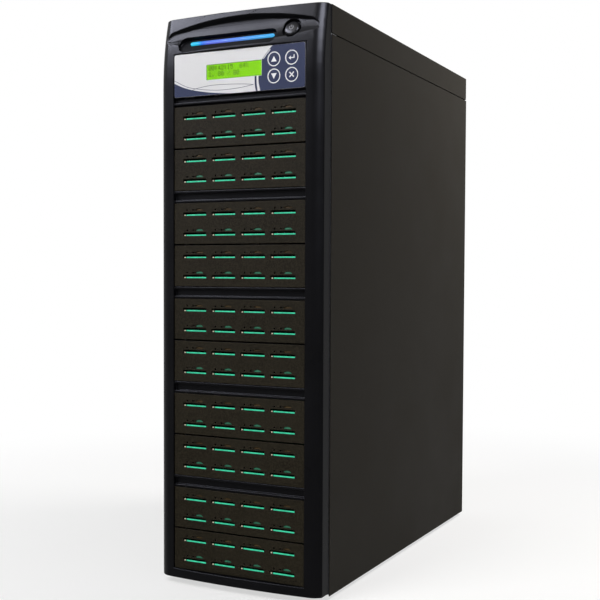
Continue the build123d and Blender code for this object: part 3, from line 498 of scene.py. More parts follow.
def smooth_line(points, steps=6):
    """Points of a Catmull-Rom curve through the given ones."""
    ends = [points[0]] + list(points) + [points[-1]]
    line = []
    for quad in zip(ends, ends[1:], ends[2:], ends[3:]):
        for i in range(steps):
            t = i / steps
            line.append(tuple(0.5 * (2 * b + (c - a) * t + (2 * a - 5 * b + 4 * c - d) * t * t
                                     + (3 * b - a - 3 * c + d) * t ** 3) for a, b, c, d in zip(*quad)))
    return line + [tuple(points[-1])]


def ribbon(points, width):
    """Outline of a narrow line of even width."""
    left, right = [], []
    for i, point in enumerate(points):
        before, after = points[max(i - 1, 0)], points[min(i + 1, len(points) - 1)]
        along = Vector((after[0] - before[0], after[1] - before[1])).normalized()
        across = Vector((-along.y, along.x)) * width / 2
        left.append((point[0] + across.x, point[1] + across.y))
        right.append((point[0] - across.x, point[1] - across.y))
    return left + right[::-1]


# Mesh helpers

def new_object(name, data):
    """Object of its data, linked to the scene."""
    made = bpy.data.objects.new(name, data)
    bpy.context.scene.collection.objects.link(made)
    return made


def mesh_of(name, work):
    """Mesh of the work, which is freed."""
    mesh = bpy.data.meshes.new(name)
    work.to_mesh(mesh)
    work.free()
    return mesh


def take_in(work, mesh):
    """Add a mesh to the work; the mesh goes."""
    work.from_mesh(mesh)
    bpy.data.meshes.remove(mesh)


def smooth(mesh, angle=SMOOTH_ANGLE):
    """Shade a mesh smooth up to an angle."""
    mesh.shade_smooth()
    mesh.set_sharp_from_angle(angle=angle)


def put_in(work, part, place, finish):
    """Move a closed part into place, turn its faces outwards and add it to the work."""
    bmesh.ops.transform(part, matrix=place, verts=part.verts)
    bmesh.ops.recalc_face_normals(part, faces=part.faces)
    for face in part.faces:
        face.material_index = finish
    take_in(work, mesh_of("part", part))


def add_slab(work, outlines, top, depth, place, finish=0):
    """Add a flat slab from an outline and its holes, from its top face down by a depth."""
    slab = bmesh.new()
    for outline in outlines:
        corners = [slab.verts.new((u, v, top)) for u, v in outline]
        for first, second in zip(corners, corners[1:] + corners[:1]):
            slab.edges.new((first, second))
    bmesh.ops.triangle_fill(slab, use_beauty=True, edges=slab.edges[:])
    back = bmesh.ops.extrude_face_region(slab, geom=slab.faces[:], use_keep_orig=True)["geom"]
    moved = [item for item in back if isinstance(item, bmesh.types.BMVert)]
    bmesh.ops.translate(slab, verts=moved, vec=(0, 0, -depth))
    put_in(work, slab, place, finish)


def add_plate(work, outlines, thickness, edge, place):
    """Add a plate with holes and rounded rims, from its face on the plane down by its thickness."""
    curve = bpy.data.curves.new("plate", "CURVE")
    curve.dimensions = "2D"
    curve.fill_mode = "BOTH"
    curve.extrude = thickness / 2 - edge
    curve.bevel_depth = edge
    curve.bevel_resolution = 1
    curve.offset = -edge
    for outline in outlines:
        line = curve.splines.new("POLY")
        line.points.add(len(outline) - 1)
        for point, (u, v) in zip(line.points, outline):
            point.co = (u, v, 0.0, 1.0)
        line.use_cyclic_u = True
    holder = new_object("plate", curve)
    shaped = bpy.data.meshes.new_from_object(holder.evaluated_get(bpy.context.evaluated_depsgraph_get()))
    bpy.data.objects.remove(holder)
    bpy.data.curves.remove(curve)
    plate = bmesh.new()
    take_in(plate, shaped)
    bmesh.ops.remove_doubles(plate, verts=plate.verts, dist=MERGE)
    bmesh.ops.translate(plate, verts=plate.verts, vec=(0, 0, -thickness / 2))
    put_in(work, plate, place, 0)


def add_turned(work, profile, place, steps=ROUND):
    """Add a solid turned about the plane's normal, from (radius, height) points, closed at both ends."""
    turned = bmesh.new()
    rings = []
    for radius, height in profile:
        ring = circle(0, 0, radius, steps) if radius > MERGE else [(0, 0)]
        rings.append([turned.verts.new((u, v, height)) for u, v in ring])
    for upper, lower in zip(rings, rings[1:]):
        for i in range(steps):
            j = (i + 1) % steps
            corners = [upper[i % len(upper)], lower[i % len(lower)], lower[j % len(lower)],
                       upper[j % len(upper)]]
            turned.faces.new(list(dict.fromkeys(corners)))
    put_in(work, turned, place, 0)


def add_block(work, low, high, place=Matrix.Identity(4)):
    """Add a rectangular block between two corners."""
    block = bmesh.new()
    bmesh.ops.create_cube(block, size=1.0)
    low, high = Vector(low), Vector(high)
    bmesh.ops.scale(block, verts=block.verts, vec=high - low)
    bmesh.ops.translate(block, verts=block.verts, vec=(low + high) / 2)
    put_in(work, block, place, 0)


def add_bevel(holder, width, segments=2):
    """Put a modifier that rounds the sharp edges on an object."""
    bevel = holder.modifiers.new("Rounded edges", "BEVEL")
    bevel.width = width
    bevel.segments = segments
    bevel.limit_method = "ANGLE"
    bevel.angle_limit = SMOOTH_ANGLE
    return bevel


def plain_mesh(name, holder):
    """Mesh of a holder with its modifiers applied; the holder goes."""
    evaluated = holder.evaluated_get(bpy.context.evaluated_depsgraph_get())
    result = bpy.data.meshes.new_from_object(evaluated)
    result.name = name
    old = holder.data
    bpy.data.objects.remove(holder)
    bpy.data.meshes.remove(old)
    return result


def rounded_mesh(name, work, edge=0.0, segments=2):
    """Plain mesh of the work, with its sharp edges rounded where a width is given."""
    bmesh.ops.dissolve_limit(work, angle_limit=FLAT_ANGLE, verts=work.verts, edges=work.edges,
                             delimit={"MATERIAL"})
    mesh = mesh_of(name, work)
    if not edge:
        smooth(mesh)
        return mesh
    mesh.shade_smooth()
    holder = new_object(name, mesh)
    add_bevel(holder, edge, segments).use_clamp_overlap = False
    holder.modifiers.new("Even shading", "WEIGHTED_NORMAL").keep_sharp = True
    return plain_mesh(name, holder)


def body_of(node):
    """Body that carries a CAD node."""
    return frame["nodes"][node]["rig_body"]


def make_piece(name, mesh, finishes, body, nodes=()):
    """Show a finished mesh as a piece that rides on a body and stands for CAD nodes."""
    if not mesh.materials:
        for finish in finishes:
            mesh.materials.append(finish)
    piece = new_object(name, mesh)
    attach(piece, body)
    if nodes:
        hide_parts(*nodes)


def stand_in(node, mesh, *finishes):
    """Show a finished mesh in place of one CAD node, on its body."""
    make_piece(f"{node}.fine", mesh, finishes, body_of(node), [node])


def dress_node(node, finish, edge, segments=2):
    """Replace a CAD node with its own shape, edges rounded."""
    work = bmesh.new()
    work.from_mesh(frame["nodes"][node].data)
    bmesh.ops.remove_doubles(work, verts=work.verts, dist=MERGE)
    for face in work.faces:
        face.material_index = 0
    stand_in(node, rounded_mesh(node, work, edge, segments), finish)


def paint_node(node, finish):
    """Give a CAD node that stays as it is a better material."""
    shown = frame["nodes"][node]
    if not shown.material_slots:
        shown.data.materials.append(finish)
    for place in shown.material_slots:
        place.material = finish


# Geometry Nodes helpers

def new_modifier(name, inputs):
    """A modifier's node group, with its finish as the last input and one geometry out."""
    made = new_group(name, "GeometryNodeTree", inputs + [("Finish", "NodeSocketMaterial", None)],
                     [("Geometry", "NodeSocketGeometry")])
    made[0].is_modifier = True
    return made


def finish_tree(tree, source, sink, points, instance, turn=None):
    """Close a tree: instances on the points, made real, with their material."""
    inputs = {"Points": points, "Instance": instance}
    if turn is not None:
        inputs["Rotation"] = add_node(tree, "FunctionNodeEulerToRotation", {0: turn}).outputs[0]
    spread = add_node(tree, "GeometryNodeInstanceOnPoints", inputs)
    real = add_node(tree, "GeometryNodeRealizeInstances", {"Geometry": spread.outputs[0]})
    finish = add_node(tree, "GeometryNodeSetMaterial", {"Geometry": real.outputs[0],
                                                        "Material": source.outputs["Finish"]})
    return put_out(tree, sink, Geometry=finish.outputs[0])


@made_once("Blocks on points")
def blocks_tree(name):
    """Node tree that puts a block on every point."""
    tree, source, sink = new_modifier(name, [
        ("Points", "NodeSocketGeometry", None), ("Width", "NodeSocketFloat", MM),
        ("Depth", "NodeSocketFloat", MM), ("Height", "NodeSocketFloat", MM)])
    size = add_node(tree, "ShaderNodeCombineXYZ", {
        "X": source.outputs["Width"], "Y": source.outputs["Depth"], "Z": source.outputs["Height"]})
    block = add_node(tree, "GeometryNodeMeshCube", {"Size": size.outputs[0]})
    return finish_tree(tree, source, sink, source.outputs["Points"], block.outputs["Mesh"])


@made_once("Copies on points")
def copies_tree(name):
    """Node tree that puts a copy of another object's shape on every point."""
    tree, source, sink = new_modifier(name, [
        ("Points", "NodeSocketGeometry", None), ("Shape", "NodeSocketObject", None)])
    shape = add_node(tree, "GeometryNodeObjectInfo", {"Object": source.outputs["Shape"]})
    return finish_tree(tree, source, sink, source.outputs["Points"], shape.outputs["Geometry"])


@made_once("Heads on points")
def heads_tree(name):
    """Node tree that puts a knurled or plain round head on every point."""
    tree, source, sink = new_modifier(name, [
        ("Points", "NodeSocketGeometry", None), ("Radius", "NodeSocketFloat", MM),
        ("Length", "NodeSocketFloat", MM), ("Sides", "NodeSocketInt", 32),
        ("Knurl", "NodeSocketFloat", 0.0), ("Turn", "NodeSocketVector", (0.0, 0.0, 0.0))])
    barrel = add_node(tree, "GeometryNodeMeshCylinder", {
        "Vertices": source.outputs["Sides"], "Radius": source.outputs["Radius"],
        "Depth": source.outputs["Length"]})
    odd = calculate(tree, "MODULO", add_node(tree, "GeometryNodeInputIndex").outputs[0], 2.0)
    knurl = calculate(tree, "MULTIPLY", odd, source.outputs["Knurl"])
    inwards = calculate(tree, "MULTIPLY", knurl, -1.0)
    position = add_node(tree, "GeometryNodeInputPosition").outputs[0]
    flat = add_node(tree, "ShaderNodeVectorMath", {0: position, 1: (1.0, 1.0, 0.0)},
                    operation="MULTIPLY")
    offset = add_node(tree, "ShaderNodeVectorMath", {0: flat.outputs[0], "Scale": inwards},
                      operation="SCALE")
    knurled = add_node(tree, "GeometryNodeSetPosition", {"Geometry": barrel.outputs["Mesh"],
                                                         "Offset": offset.outputs[0]})
    return finish_tree(tree, source, sink, source.outputs["Points"], knurled.outputs[0],
                       source.outputs["Turn"])


@made_once("Copies round an axis")
def ring_tree(name):
    """Node tree that repeats a shape round the upright axis."""
    tree, source, sink = new_modifier(name, [
        ("Shape", "NodeSocketGeometry", None), ("Count", "NodeSocketInt", 7)])
    hub = add_node(tree, "GeometryNodeMeshCircle", {"Vertices": source.outputs["Count"], "Radius": 0.0})
    step = calculate(tree, "DIVIDE", 2 * pi, source.outputs["Count"])
    angle = calculate(tree, "MULTIPLY", add_node(tree, "GeometryNodeInputIndex").outputs[0], step)
    turn = add_node(tree, "ShaderNodeCombineXYZ", {"Z": angle})
    return finish_tree(tree, source, sink, hub.outputs[0], source.outputs["Shape"], turn.outputs[0])


def grown_mesh(name, tree, start, values, edge=0.0):
    """Plain mesh that a node tree grows from a start mesh or from points."""
    if not isinstance(start, bpy.types.Mesh):
        cloud = bpy.data.meshes.new(name)
        cloud.from_pydata([tuple(point) for point in start], [], [])
        start = cloud
    holder = new_object(name, start)
    modifier = holder.modifiers.new(tree.name, "NODES")
    modifier.node_group = tree
    for item in tree.interface.items_tree:
        if item.in_out == "INPUT" and item.name in values:
            modifier[item.identifier] = values[item.name]
    if edge:
        add_bevel(holder, edge)
    mesh = plain_mesh(name, holder)
    smooth(mesh)
    return mesh


# Operators, one for each piece or group of like pieces

class DUPLICATOR_OT_case_sheets(bpy.types.Operator):
    """Make the powder-coated top cover and side panels"""

    bl_idname = "duplicator.case_sheets"
    bl_label = "Case Sheets"

    def execute(self, context):
        for node in ("top_cover", "right_side_panel", "left_side_panel"):
            dress_node(node, powder_coat(), sizes().sheet_edge)
        return {"FINISHED"}


class DUPLICATOR_OT_front_bezel(bpy.types.Operator):
    """Make the moulded front bezel"""

    bl_idname = "duplicator.front_bezel"
    bl_label = "Front Bezel"

    def execute(self, context):
        dress_node("front_bezel", bezel_plastic(), sizes().moulded_edge, segments=3)
        return {"FINISHED"}


def window_outline(x, base, steps=12):
    """Half-oval window with a round dot at its left end, joined by a narrow channel."""
    dot_x, lift, half, hidden = x + DOT_XS[1], base + DOT_R, CHANNEL_H / 2, 2
    dome = half_oval(x + WINDOW_SHIFT, base, WINDOW_W, WINDOW_H)[:-hidden]
    open_angle = asin(half / DOT_R)
    angles = [open_angle + 2 * (pi - open_angle) / steps * i for i in range(steps + 1)]
    dot = [(dot_x + DOT_R * cos(angle), lift + DOT_R * sin(angle)) for angle in angles]
    channel_end = x + WINDOW_SHIFT - WINDOW_W / 2 + DOT_R
    return dome + dot + [(channel_end, lift - half), (channel_end, base)]


def faceplate_outlines():
    """Outlines of a reader faceplate, measured from the middle of its top edge."""
    outlines = [rectangle(FACE_LOW.x, FACE_HIGH.x, FACE_LOW.z - FACE_HIGH.z, 0)]
    half_w, half_h, dot_steps = SLIT_W / 2, SLIT_H / 2, 16
    for drop in SLIT_DROPS:
        base = -drop + WINDOW_RISE
        for x in SLIT_XS:
            outlines += [rectangle(x - half_w, x + half_w, -drop - half_h, -drop + half_h),
                         circle(x + DOT_XS[0], base + DOT_R, DOT_R, dot_steps), window_outline(x, base)]
    return outlines


class DUPLICATOR_OT_reader_faceplates(bpy.types.Operator):
    """Make the ten reader faceplates with their slits, windows and side arms"""

    bl_idname = "duplicator.reader_faceplates"
    bl_label = "Reader Faceplates"

    def execute(self, context):
        work = bmesh.new()
        add_plate(work, faceplate_outlines(), FACE_T, sizes().plate_edge, front_plane(FACE_LOW.y))
        arm_t, arm_h, arm_x = 1.4 * MM, 31.0 * MM, 73.4 * MM
        middle = (FACE_LOW.z - FACE_HIGH.z) / 2
        for side in (-1, 1):
            inner, outer = sorted((side * arm_x, side * (arm_x - arm_t)))
            add_block(work, (inner, FACE_LOW.y + FACE_T, middle - arm_h / 2),
                      (outer, FACE_HIGH.y, middle + arm_h / 2))
        master = mesh_of("reader_faceplate", work)
        smooth(master, FLAT_SHADE)
        for number in READERS:
            node = f"reader_faceplate_{number}"
            plate = master.copy()
            plate.transform(Matrix.Translation((0, 0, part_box(node)[1].z)))
            stand_in(node, plate, faceplate_plastic())
        bpy.data.meshes.remove(master)
        return {"FINISHED"}


class DUPLICATOR_OT_card_readers(bpy.types.Operator):
    """Make the strips with a painted glow, the lamps and the light guides behind the slits, and finish
    the boards, and the sockets darkened with painted shade
    """

    bl_idname = "duplicator.card_readers"
    bl_label = "Card Readers"

    def execute(self, context):
        low, high = -SLIT_H / 2 + 0.15 * MM, -SLIT_H / 2 + 1.35 * MM
        strip_left, strip_corner = -SLIT_W / 2 + 3.5 * MM, 0.3 * MM
        lamp_left, lamp_right, lamp_corner = -SLIT_W / 2 + 0.8 * MM, -SLIT_W / 2 + 2.3 * MM, 0.5 * MM
        guide_lift, guide_trim, guide_cut = 0.15 * MM, 0.5 * MM, 0.35 * MM
        strip_t = 0.8 * MM
        strip = rectangle(strip_left, SLIT_W / 2, low, high, strip_corner)
        lamp = rectangle(lamp_left, lamp_right, low, high, lamp_corner)
        guide = half_oval(WINDOW_SHIFT, WINDOW_RISE + guide_lift, WINDOW_W - guide_trim,
                          WINDOW_H - guide_cut)
        tops = [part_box(f"reader_faceplate_{number}")[1].z for number in READERS]
        upper, lower = [[(x, top - drop) for top in tops for x in SLIT_XS] for drop in SLIT_DROPS]
        for name, outline, depth, points, finish in (
                # Card strips: the socket's lip behind each slit, given a painted glow though it is no
                # lamp
                ("card_strips", strip, strip_t, upper + lower,
                 glow("painted_glow_strip", colours().strip, strength=0.85, spread=1.3, size=3 * MM)),
                ("slit_lamps", lamp, strip_t, upper + lower,
                 glow("slit_lamp", (0.62, 0.60, 0.44), strength=0.6, spread=0.5)),
                ("upper_guides", guide, FACE_T, upper,
                 surface("brown_guide", (0.055, 0.036, 0.016), roughness=0.5, specular=0.02,
                         spread=1.6)),
                ("lower_guides", guide, FACE_T, lower,
                 glow("green_guide", (0.03, 0.16, 0.09), strength=0.5, roughness=0.5, spread=1.4,
                      size=5 * MM))):
            make_piece(name, self.copies(name, outline, depth, points, finish), [finish], "tower")
        for number in READERS:
            paint_node(f"reader_boards_{number}", board_lacquer())
        # Painted shade: the card sockets' steel is made near black so that the slits look shaded above
        # the strips
        painted_shade = surface("socket_steel_painted_shade", (0.035, 0.036, 0.038), roughness=0.55, metallic=1.0,
                         grain=2 * MM, depth=0.01 * MM)
        for pair in SOCKET_PAIRS:
            paint_node(f"card_sockets_pair_{pair}", painted_shade)
        return {"FINISHED"}

    @staticmethod
    def copies(name, outline, depth, points, finish):
        """One small rounded shape, copied behind every slit or window in the list."""
        y, edge = FACE_LOW.y + 0.7 * MM, 0.15 * MM
        work = bmesh.new()
        add_plate(work, [outline], depth, edge, front_plane(0.0))
        shape = bpy.data.objects.new(name, mesh_of(name, work))
        mesh = grown_mesh(name, copies_tree(), [(x, y, z) for x, z in points],
                          {"Shape": shape, "Finish": finish})
        data = shape.data
        bpy.data.objects.remove(shape)
        bpy.data.meshes.remove(data)
        return mesh


def print_outlines():
    """Dark print of the film: the key field, then the stripe, the lower corner and two fine arcs."""
    top, right, low, left = 530.15, 73.55, 488.45, -73.55
    display_low, display_top, display_right, fine_w, steps = 502.75, 517.6, 26.75, 0.42, 4
    rounds = rectangle(left, right, low, top, FILM_R / MM, steps)
    corners = [rounds[i:i + steps + 1] for i in range(0, len(rounds), steps + 1)]
    low_right, top_right, low_left = corners[0], corners[1], corners[3]
    field = smooth_line([(27.0, 518.2), (30.2, 522.2), (34.2, 526.3), (38.5, top)])
    field += top_right[::-1] + low_right[::-1]
    field += smooth_line([(25.2, low), (24.2, 492.4), (23.2, 497.0), (23.1, display_low)])
    field += [(display_right, display_low), (display_right, display_top)]
    stripe = smooth_line([(20.2, low), (19.2, 493.5), (18.9, 498.0), (18.9, display_low)])
    stripe += smooth_line([(21.0, display_low), (21.0, 498.0), (21.3, 493.5), (22.3, low)])
    patch = smooth_line([(left, 502.3), (-62.4, 497.5), (-50.0, 494.0), (-31.5, 490.7), (-15.7, 489.1),
                         (-8.0, low)])
    patch += low_left[::-1]
    arcs = [[(left, 505.1), (-59.9, 498.4), (-48.7, 495.6), (-35.2, 493.5), (-19.3, 492.3), (1.0, 492.9),
             (17.5, 494.9)],
            [(-52.4, 494.5), (-43.8, 496.3), (-29.1, 497.6), (-10.9, 497.3), (6.9, 496.2),
             (17.5, 494.9)]]
    fine = [ribbon(smooth_line(arc), fine_w) for arc in arcs]
    return [in_mm(line) for line in (field, stripe, patch, *fine)]


class DUPLICATOR_OT_control_panel(bpy.types.Operator):
    """Make the control module's faceplate, printed film, lit display and clear window"""

    bl_idname = "duplicator.control_panel"
    bl_label = "Control Panel"

    def execute(self, context):
        dress_node("controller_faceplate", matt_black(), edge=0.3 * MM)
        place = front_plane(FILM_LOW.y)
        holes = [circle(*middle_of(name), HOLE_R) for name in KEY_SIGNS]
        window = rectangle(GLASS_LOW.x, GLASS_HIGH.x, GLASS_LOW.z, GLASS_HIGH.z)
        outline = rectangle(FILM_LOW.x, FILM_HIGH.x, FILM_LOW.z, FILM_HIGH.z, FILM_R)
        film = surface("white_film", colours().film, roughness=0.4, specular=0.1, grain=0.5 * MM,
                       depth=0.006 * MM, fleck=0.1, spread=0.05)
        work = bmesh.new()
        add_slab(work, [outline, window] + holes, 0.0, FILM_HIGH.y - FILM_LOW.y, place)
        make_piece("control_film", rounded_mesh("control_film", work), [film], "tower",
                   ["controller_overlay"])
        work = bmesh.new()
        field, *plain = print_outlines()
        add_slab(work, [field] + holes, INK_T, INK_T, place)
        for shape in plain:
            add_slab(work, [shape], INK_T, INK_T, place)
        white_w = 0.45 * MM
        for line in ([(27.75, 518.3), (31.0, 522.4), (34.6, 525.9), (36.0, 527.0)],
                     [(28.75, 518.3), (31.9, 522.1), (35.3, 525.4), (36.0, 527.0)]):
            stroke = ribbon(in_mm(smooth_line(line)), white_w)
            add_slab(work, [stroke], 2 * INK_T, INK_T, place, finish=1)
        make_piece("film_print", rounded_mesh("film_print", work), [dark_print(), white_print()],
                   "tower")
        self.display()
        for node in ("lcd_module", "controller_board"):
            paint_node(node, board_lacquer())
        return {"FINISHED"}

    @staticmethod
    def display():
        """Lit ground, dots and clear cover of the display."""
        lit = glow("display_ground", colours().display, strength=0.25, roughness=0.5, spread=0.3,
                   size=30 * MM)
        inset, cover_t, dot_t = 0.35 * MM, 0.25 * MM, 0.05 * MM
        ground_edge, cover_edge = 0.1 * MM, 0.06 * MM
        face = GLASS_LOW.y + cover_t + dot_t
        work = bmesh.new()
        add_block(work, (GLASS_LOW.x + inset, face, GLASS_LOW.z + inset),
                  (GLASS_HIGH.x - inset, GLASS_HIGH.y, GLASS_HIGH.z - inset))
        make_piece("display_ground", rounded_mesh("display_ground", work, ground_edge), [lit], "tower")
        dots = surface("display_dots", (0.008, 0.03, 0.003), roughness=0.5, specular=0.02, spread=0.2)
        pitch_u, pitch_v, step, drop = 0.60 * MM, 0.64 * MM, 3.52 * MM, 5.9 * MM
        left, top = -33.0 * MM, 516.1 * MM
        points = []
        for line, text in enumerate(DISPLAY_ROWS):
            for place, sign in enumerate(text):
                for row, bits in enumerate(SIGNS[sign]):
                    z = top - line * drop - row * pitch_v
                    for column in range(SIGN_COLUMNS):
                        if bits >> (SIGN_COLUMNS - 1 - column) & 1:
                            points.append((left + place * step + column * pitch_u, face, z))
        gap = sizes().dot_gap
        mesh = grown_mesh("display_dots", blocks_tree(), points, {
            "Width": pitch_u - gap, "Depth": dot_t, "Height": pitch_v - gap, "Finish": dots})
        make_piece("display_dots", mesh, [dots], "tower")
        clear = surface("clear_window", (0.95, 1.0, 0.95), roughness=0.06, specular=0.01,
                        depth=0.001 * MM, fleck=0.02, spread=0.02)
        shader = clear.node_tree.nodes["Principled BSDF"]
        shader.inputs["Transmission Weight"].default_value = 1.0
        shader.inputs["IOR"].default_value = 1.12
        work = bmesh.new()
        add_block(work, GLASS_LOW, (GLASS_HIGH.x, GLASS_LOW.y + cover_t, GLASS_HIGH.z))
        make_piece("display_window", rounded_mesh("display_window", work, cover_edge), [clear], "tower",
                   ["lcd_window"])


class DUPLICATOR_OT_keys(bpy.types.Operator):
    """Make the four round keys with their printed ring and sign"""

    bl_idname = "duplicator.keys"
    bl_label = "Keys"

    def execute(self, context):
        ring_in, ring_out, ring_top, ring_t = 6.0 * MM, 6.9 * MM, 0.02 * MM, 0.06 * MM
        sign_top, sign_t = 0.22 * MM, 0.2 * MM
        back, flange_w, flange_h, flange_t, stem = 3.5 * MM, 2.5 * MM, 7.7 * MM, 1.0 * MM, 1.6 * MM
        cap = [(0, 0.2), (2.0, 0.19), (3.6, 0.14), (5.0, 0.06), (5.8, 0.0), (6.95, 0.0), (7.06, -0.05),
               (7.1, -0.16), (7.1, -3.5), (0, -3.5)]
        for name, sign in KEY_SIGNS.items():
            low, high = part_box(name)
            place = front_plane(low.y) @ Matrix.Translation((*middle_of(name), 0))
            work = bmesh.new()
            add_turned(work, in_mm(cap), place)
            ring = [circle(0, 0, ring_out), circle(0, 0, ring_in)]
            add_slab(work, ring, ring_top, ring_t, place, finish=1)
            add_slab(work, [in_mm(sign)], sign_top, sign_t, place, finish=1)
            add_block(work, (-flange_w, -flange_h, -back - flange_t), (flange_w, flange_h, -back), place)
            add_block(work, (-stem, -stem, low.y - high.y), (stem, stem, -back), place)
            stand_in(name, rounded_mesh(name, work), dark_print(), white_print())
        return {"FINISHED"}


class DUPLICATOR_OT_light_bar(bpy.types.Operator):
    """Make the lit bar in the brow and its board"""

    bl_idname = "duplicator.light_bar"
    bl_label = "Light Bar"

    def execute(self, context):
        length, height, shift, lift = 95.4 * MM, 3.8 * MM, 3.0 * MM, 3.2 * MM
        top, depth, edge, corner_steps = -2.4 * MM, 8.2 * MM, 1.0 * MM, 10
        outline = rectangle(shift - length / 2, shift + length / 2, lift - height / 2, lift + height / 2,
                            height / 2 - MERGE, corner_steps)
        work = bmesh.new()
        add_slab(work, [outline], top, depth, scoop_plane(*LIGHT_AT))
        mesh = rounded_mesh("light_bar", work, edge, segments=4)
        make_piece("light_bar", mesh, [self.lit_bar()], "tower", ["light_bar_lens"])
        paint_node("light_bar_board", board_lacquer())
        return {"FINISHED"}

    @staticmethod
    def lit_bar():
        """Light guide lit cyan at its ends and blue to violet between them."""
        material = glow("lit_bar", (0.1, 0.4, 1.0), strength=0.7, roughness=0.25, spread=0.2,
                        size=12 * MM)
        tree = material.node_tree
        left, right = -56.6 * MM, 37.4 * MM
        along = add_node(tree, "ShaderNodeSeparateXYZ", {0: object_place(tree)}).outputs["X"]
        ramp = add_node(tree, "ShaderNodeValToRGB", {0: remap(tree, along, left, right)})
        stops = ((0.0, (0.02, 0.70, 0.90)), (0.07, (0.01, 0.62, 0.90)), (0.12, (0.02, 0.16, 0.85)),
                 (0.19, (0.13, 0.15, 0.85)), (0.35, (0.17, 0.19, 0.82)), (0.55, (0.15, 0.28, 0.90)),
                 (0.75, (0.08, 0.40, 0.86)), (1.0, (0.06, 0.52, 0.92)))
        elements = ramp.color_ramp.elements
        while len(elements) < len(stops):
            elements.new(0.5)
        for element, (position, colour) in zip(elements, stops):
            element.position = position
            element.color = (*colour, 1.0)
        tree.links.new(ramp.outputs[0], tree.nodes["Principled BSDF"].inputs["Emission Color"])
        return material


class DUPLICATOR_OT_power_button(bpy.types.Operator):
    """Make the domed power button with its sign"""

    bl_idname = "duplicator.power_button"
    bl_label = "Power Button"

    def execute(self, context):
        place = scoop_plane(*BUTTON_AT)
        profile = [(0, 1.4), (2.0, 1.37), (3.6, 1.28), (4.9, 1.13), (5.3, 1.02), (5.7, 0.98),
                   (6.1, 0.94), (6.8, 0.62), (7.3, 0.2), (7.7, -0.45), (7.95, -1.3), (8.0, -2.2),
                   (8.0, -6.2), (0, -6.2)]
        back, flange_w, flange_h, flange_end = -6.2 * MM, 9.3 * MM, 4.0 * MM, -7.4 * MM
        stem, stem_end, cap_steps = 2.2 * MM, -10.9 * MM, 64
        work = bmesh.new()
        add_turned(work, in_mm(profile), place, cap_steps)
        add_block(work, (-flange_w, -flange_h, flange_end), (flange_w, flange_h, back), place)
        add_block(work, (-stem, -stem, stem_end), (stem, stem, back), place)
        radius, start, stop, steps, line_w = 2.1, 35, 325, 24, 0.4 * MM
        arc_top, arc_t, bar_top, bar_t = 1.39 * MM, 0.15 * MM, 1.4 * MM, 0.2 * MM
        angles = [radians(start + (stop - start) * i / steps) for i in range(steps + 1)]
        arc = [(radius * sin(angle), radius * cos(angle)) for angle in angles]
        add_slab(work, [ribbon(in_mm(arc), line_w)], arc_top, arc_t, place, finish=1)
        add_slab(work, [in_mm(rectangle(-0.2, 0.2, 0.5, 2.9))], bar_top, bar_t, place, finish=1)
        plastic = surface("button_black", (0.014, 0.014, 0.016), roughness=0.28, specular=0.05,
                          grain=0.5 * MM, depth=0.01 * MM)
        sign = surface("button_sign", (0.13, 0.13, 0.14), roughness=0.4, grain=0.5 * MM,
                       depth=0.01 * MM)
        stand_in("power_button", rounded_mesh("power_button", work), plastic, sign)
        paint_node("power_switch", board_lacquer())
        return {"FINISHED"}


class DUPLICATOR_OT_screws_and_feet(bpy.types.Operator):
    """Make the knurled thumbscrews, the module screws and the rubber feet"""

    bl_idname = "duplicator.screws_and_feet"
    bl_label = "Screws and Feet"

    def execute(self, context):
        rubber = surface("black_rubber", (0.018, 0.018, 0.018), roughness=0.8, specular=0.2,
                         grain=0.8 * MM)
        dress_node("rubber_feet", rubber, edge=1.2 * MM, segments=3)
        for side in ("right", "left"):
            self.thumbscrews(f"{side}_panel_thumbscrews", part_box(f"{side}_side_panel")[1].y)
        dress_node("module_screws", screw_metal(), edge=0.3 * MM)
        return {"FINISHED"}

    @staticmethod
    def thumbscrews(node, seat):
        """Three screws, each a knurled head, a collar and a shank, that sit on a panel's rear face."""
        backwards = (pi / 2, 0.0, 0.0)
        collar_l, collar_share, shank_r, knurl, edge = 1.6 * MM, 0.72, 1.75 * MM, 0.06, 0.25 * MM
        low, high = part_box(node)
        x, middle = middle_of(node)
        radius = (high.x - low.x) / 2
        heights = [low.z + radius, middle, high.z - radius]
        head_l = high.y - seat - collar_l
        work = bmesh.new()
        for length, start, size, sides, depth, rim in (
                (head_l, high.y - head_l, radius, 64, knurl, edge),
                (collar_l, seat, radius * collar_share, 32, 0.0, edge),
                (seat - low.y, low.y, shank_r, 16, 0.0, 0.0)):
            points = [(x, start + length / 2, z) for z in heights]
            take_in(work, grown_mesh("barrels", heads_tree(), points, {
                "Radius": size, "Length": length, "Sides": sides, "Knurl": depth, "Turn": backwards,
                "Finish": screw_metal()}, rim))
        stand_in(node, rounded_mesh(node, work), screw_metal())


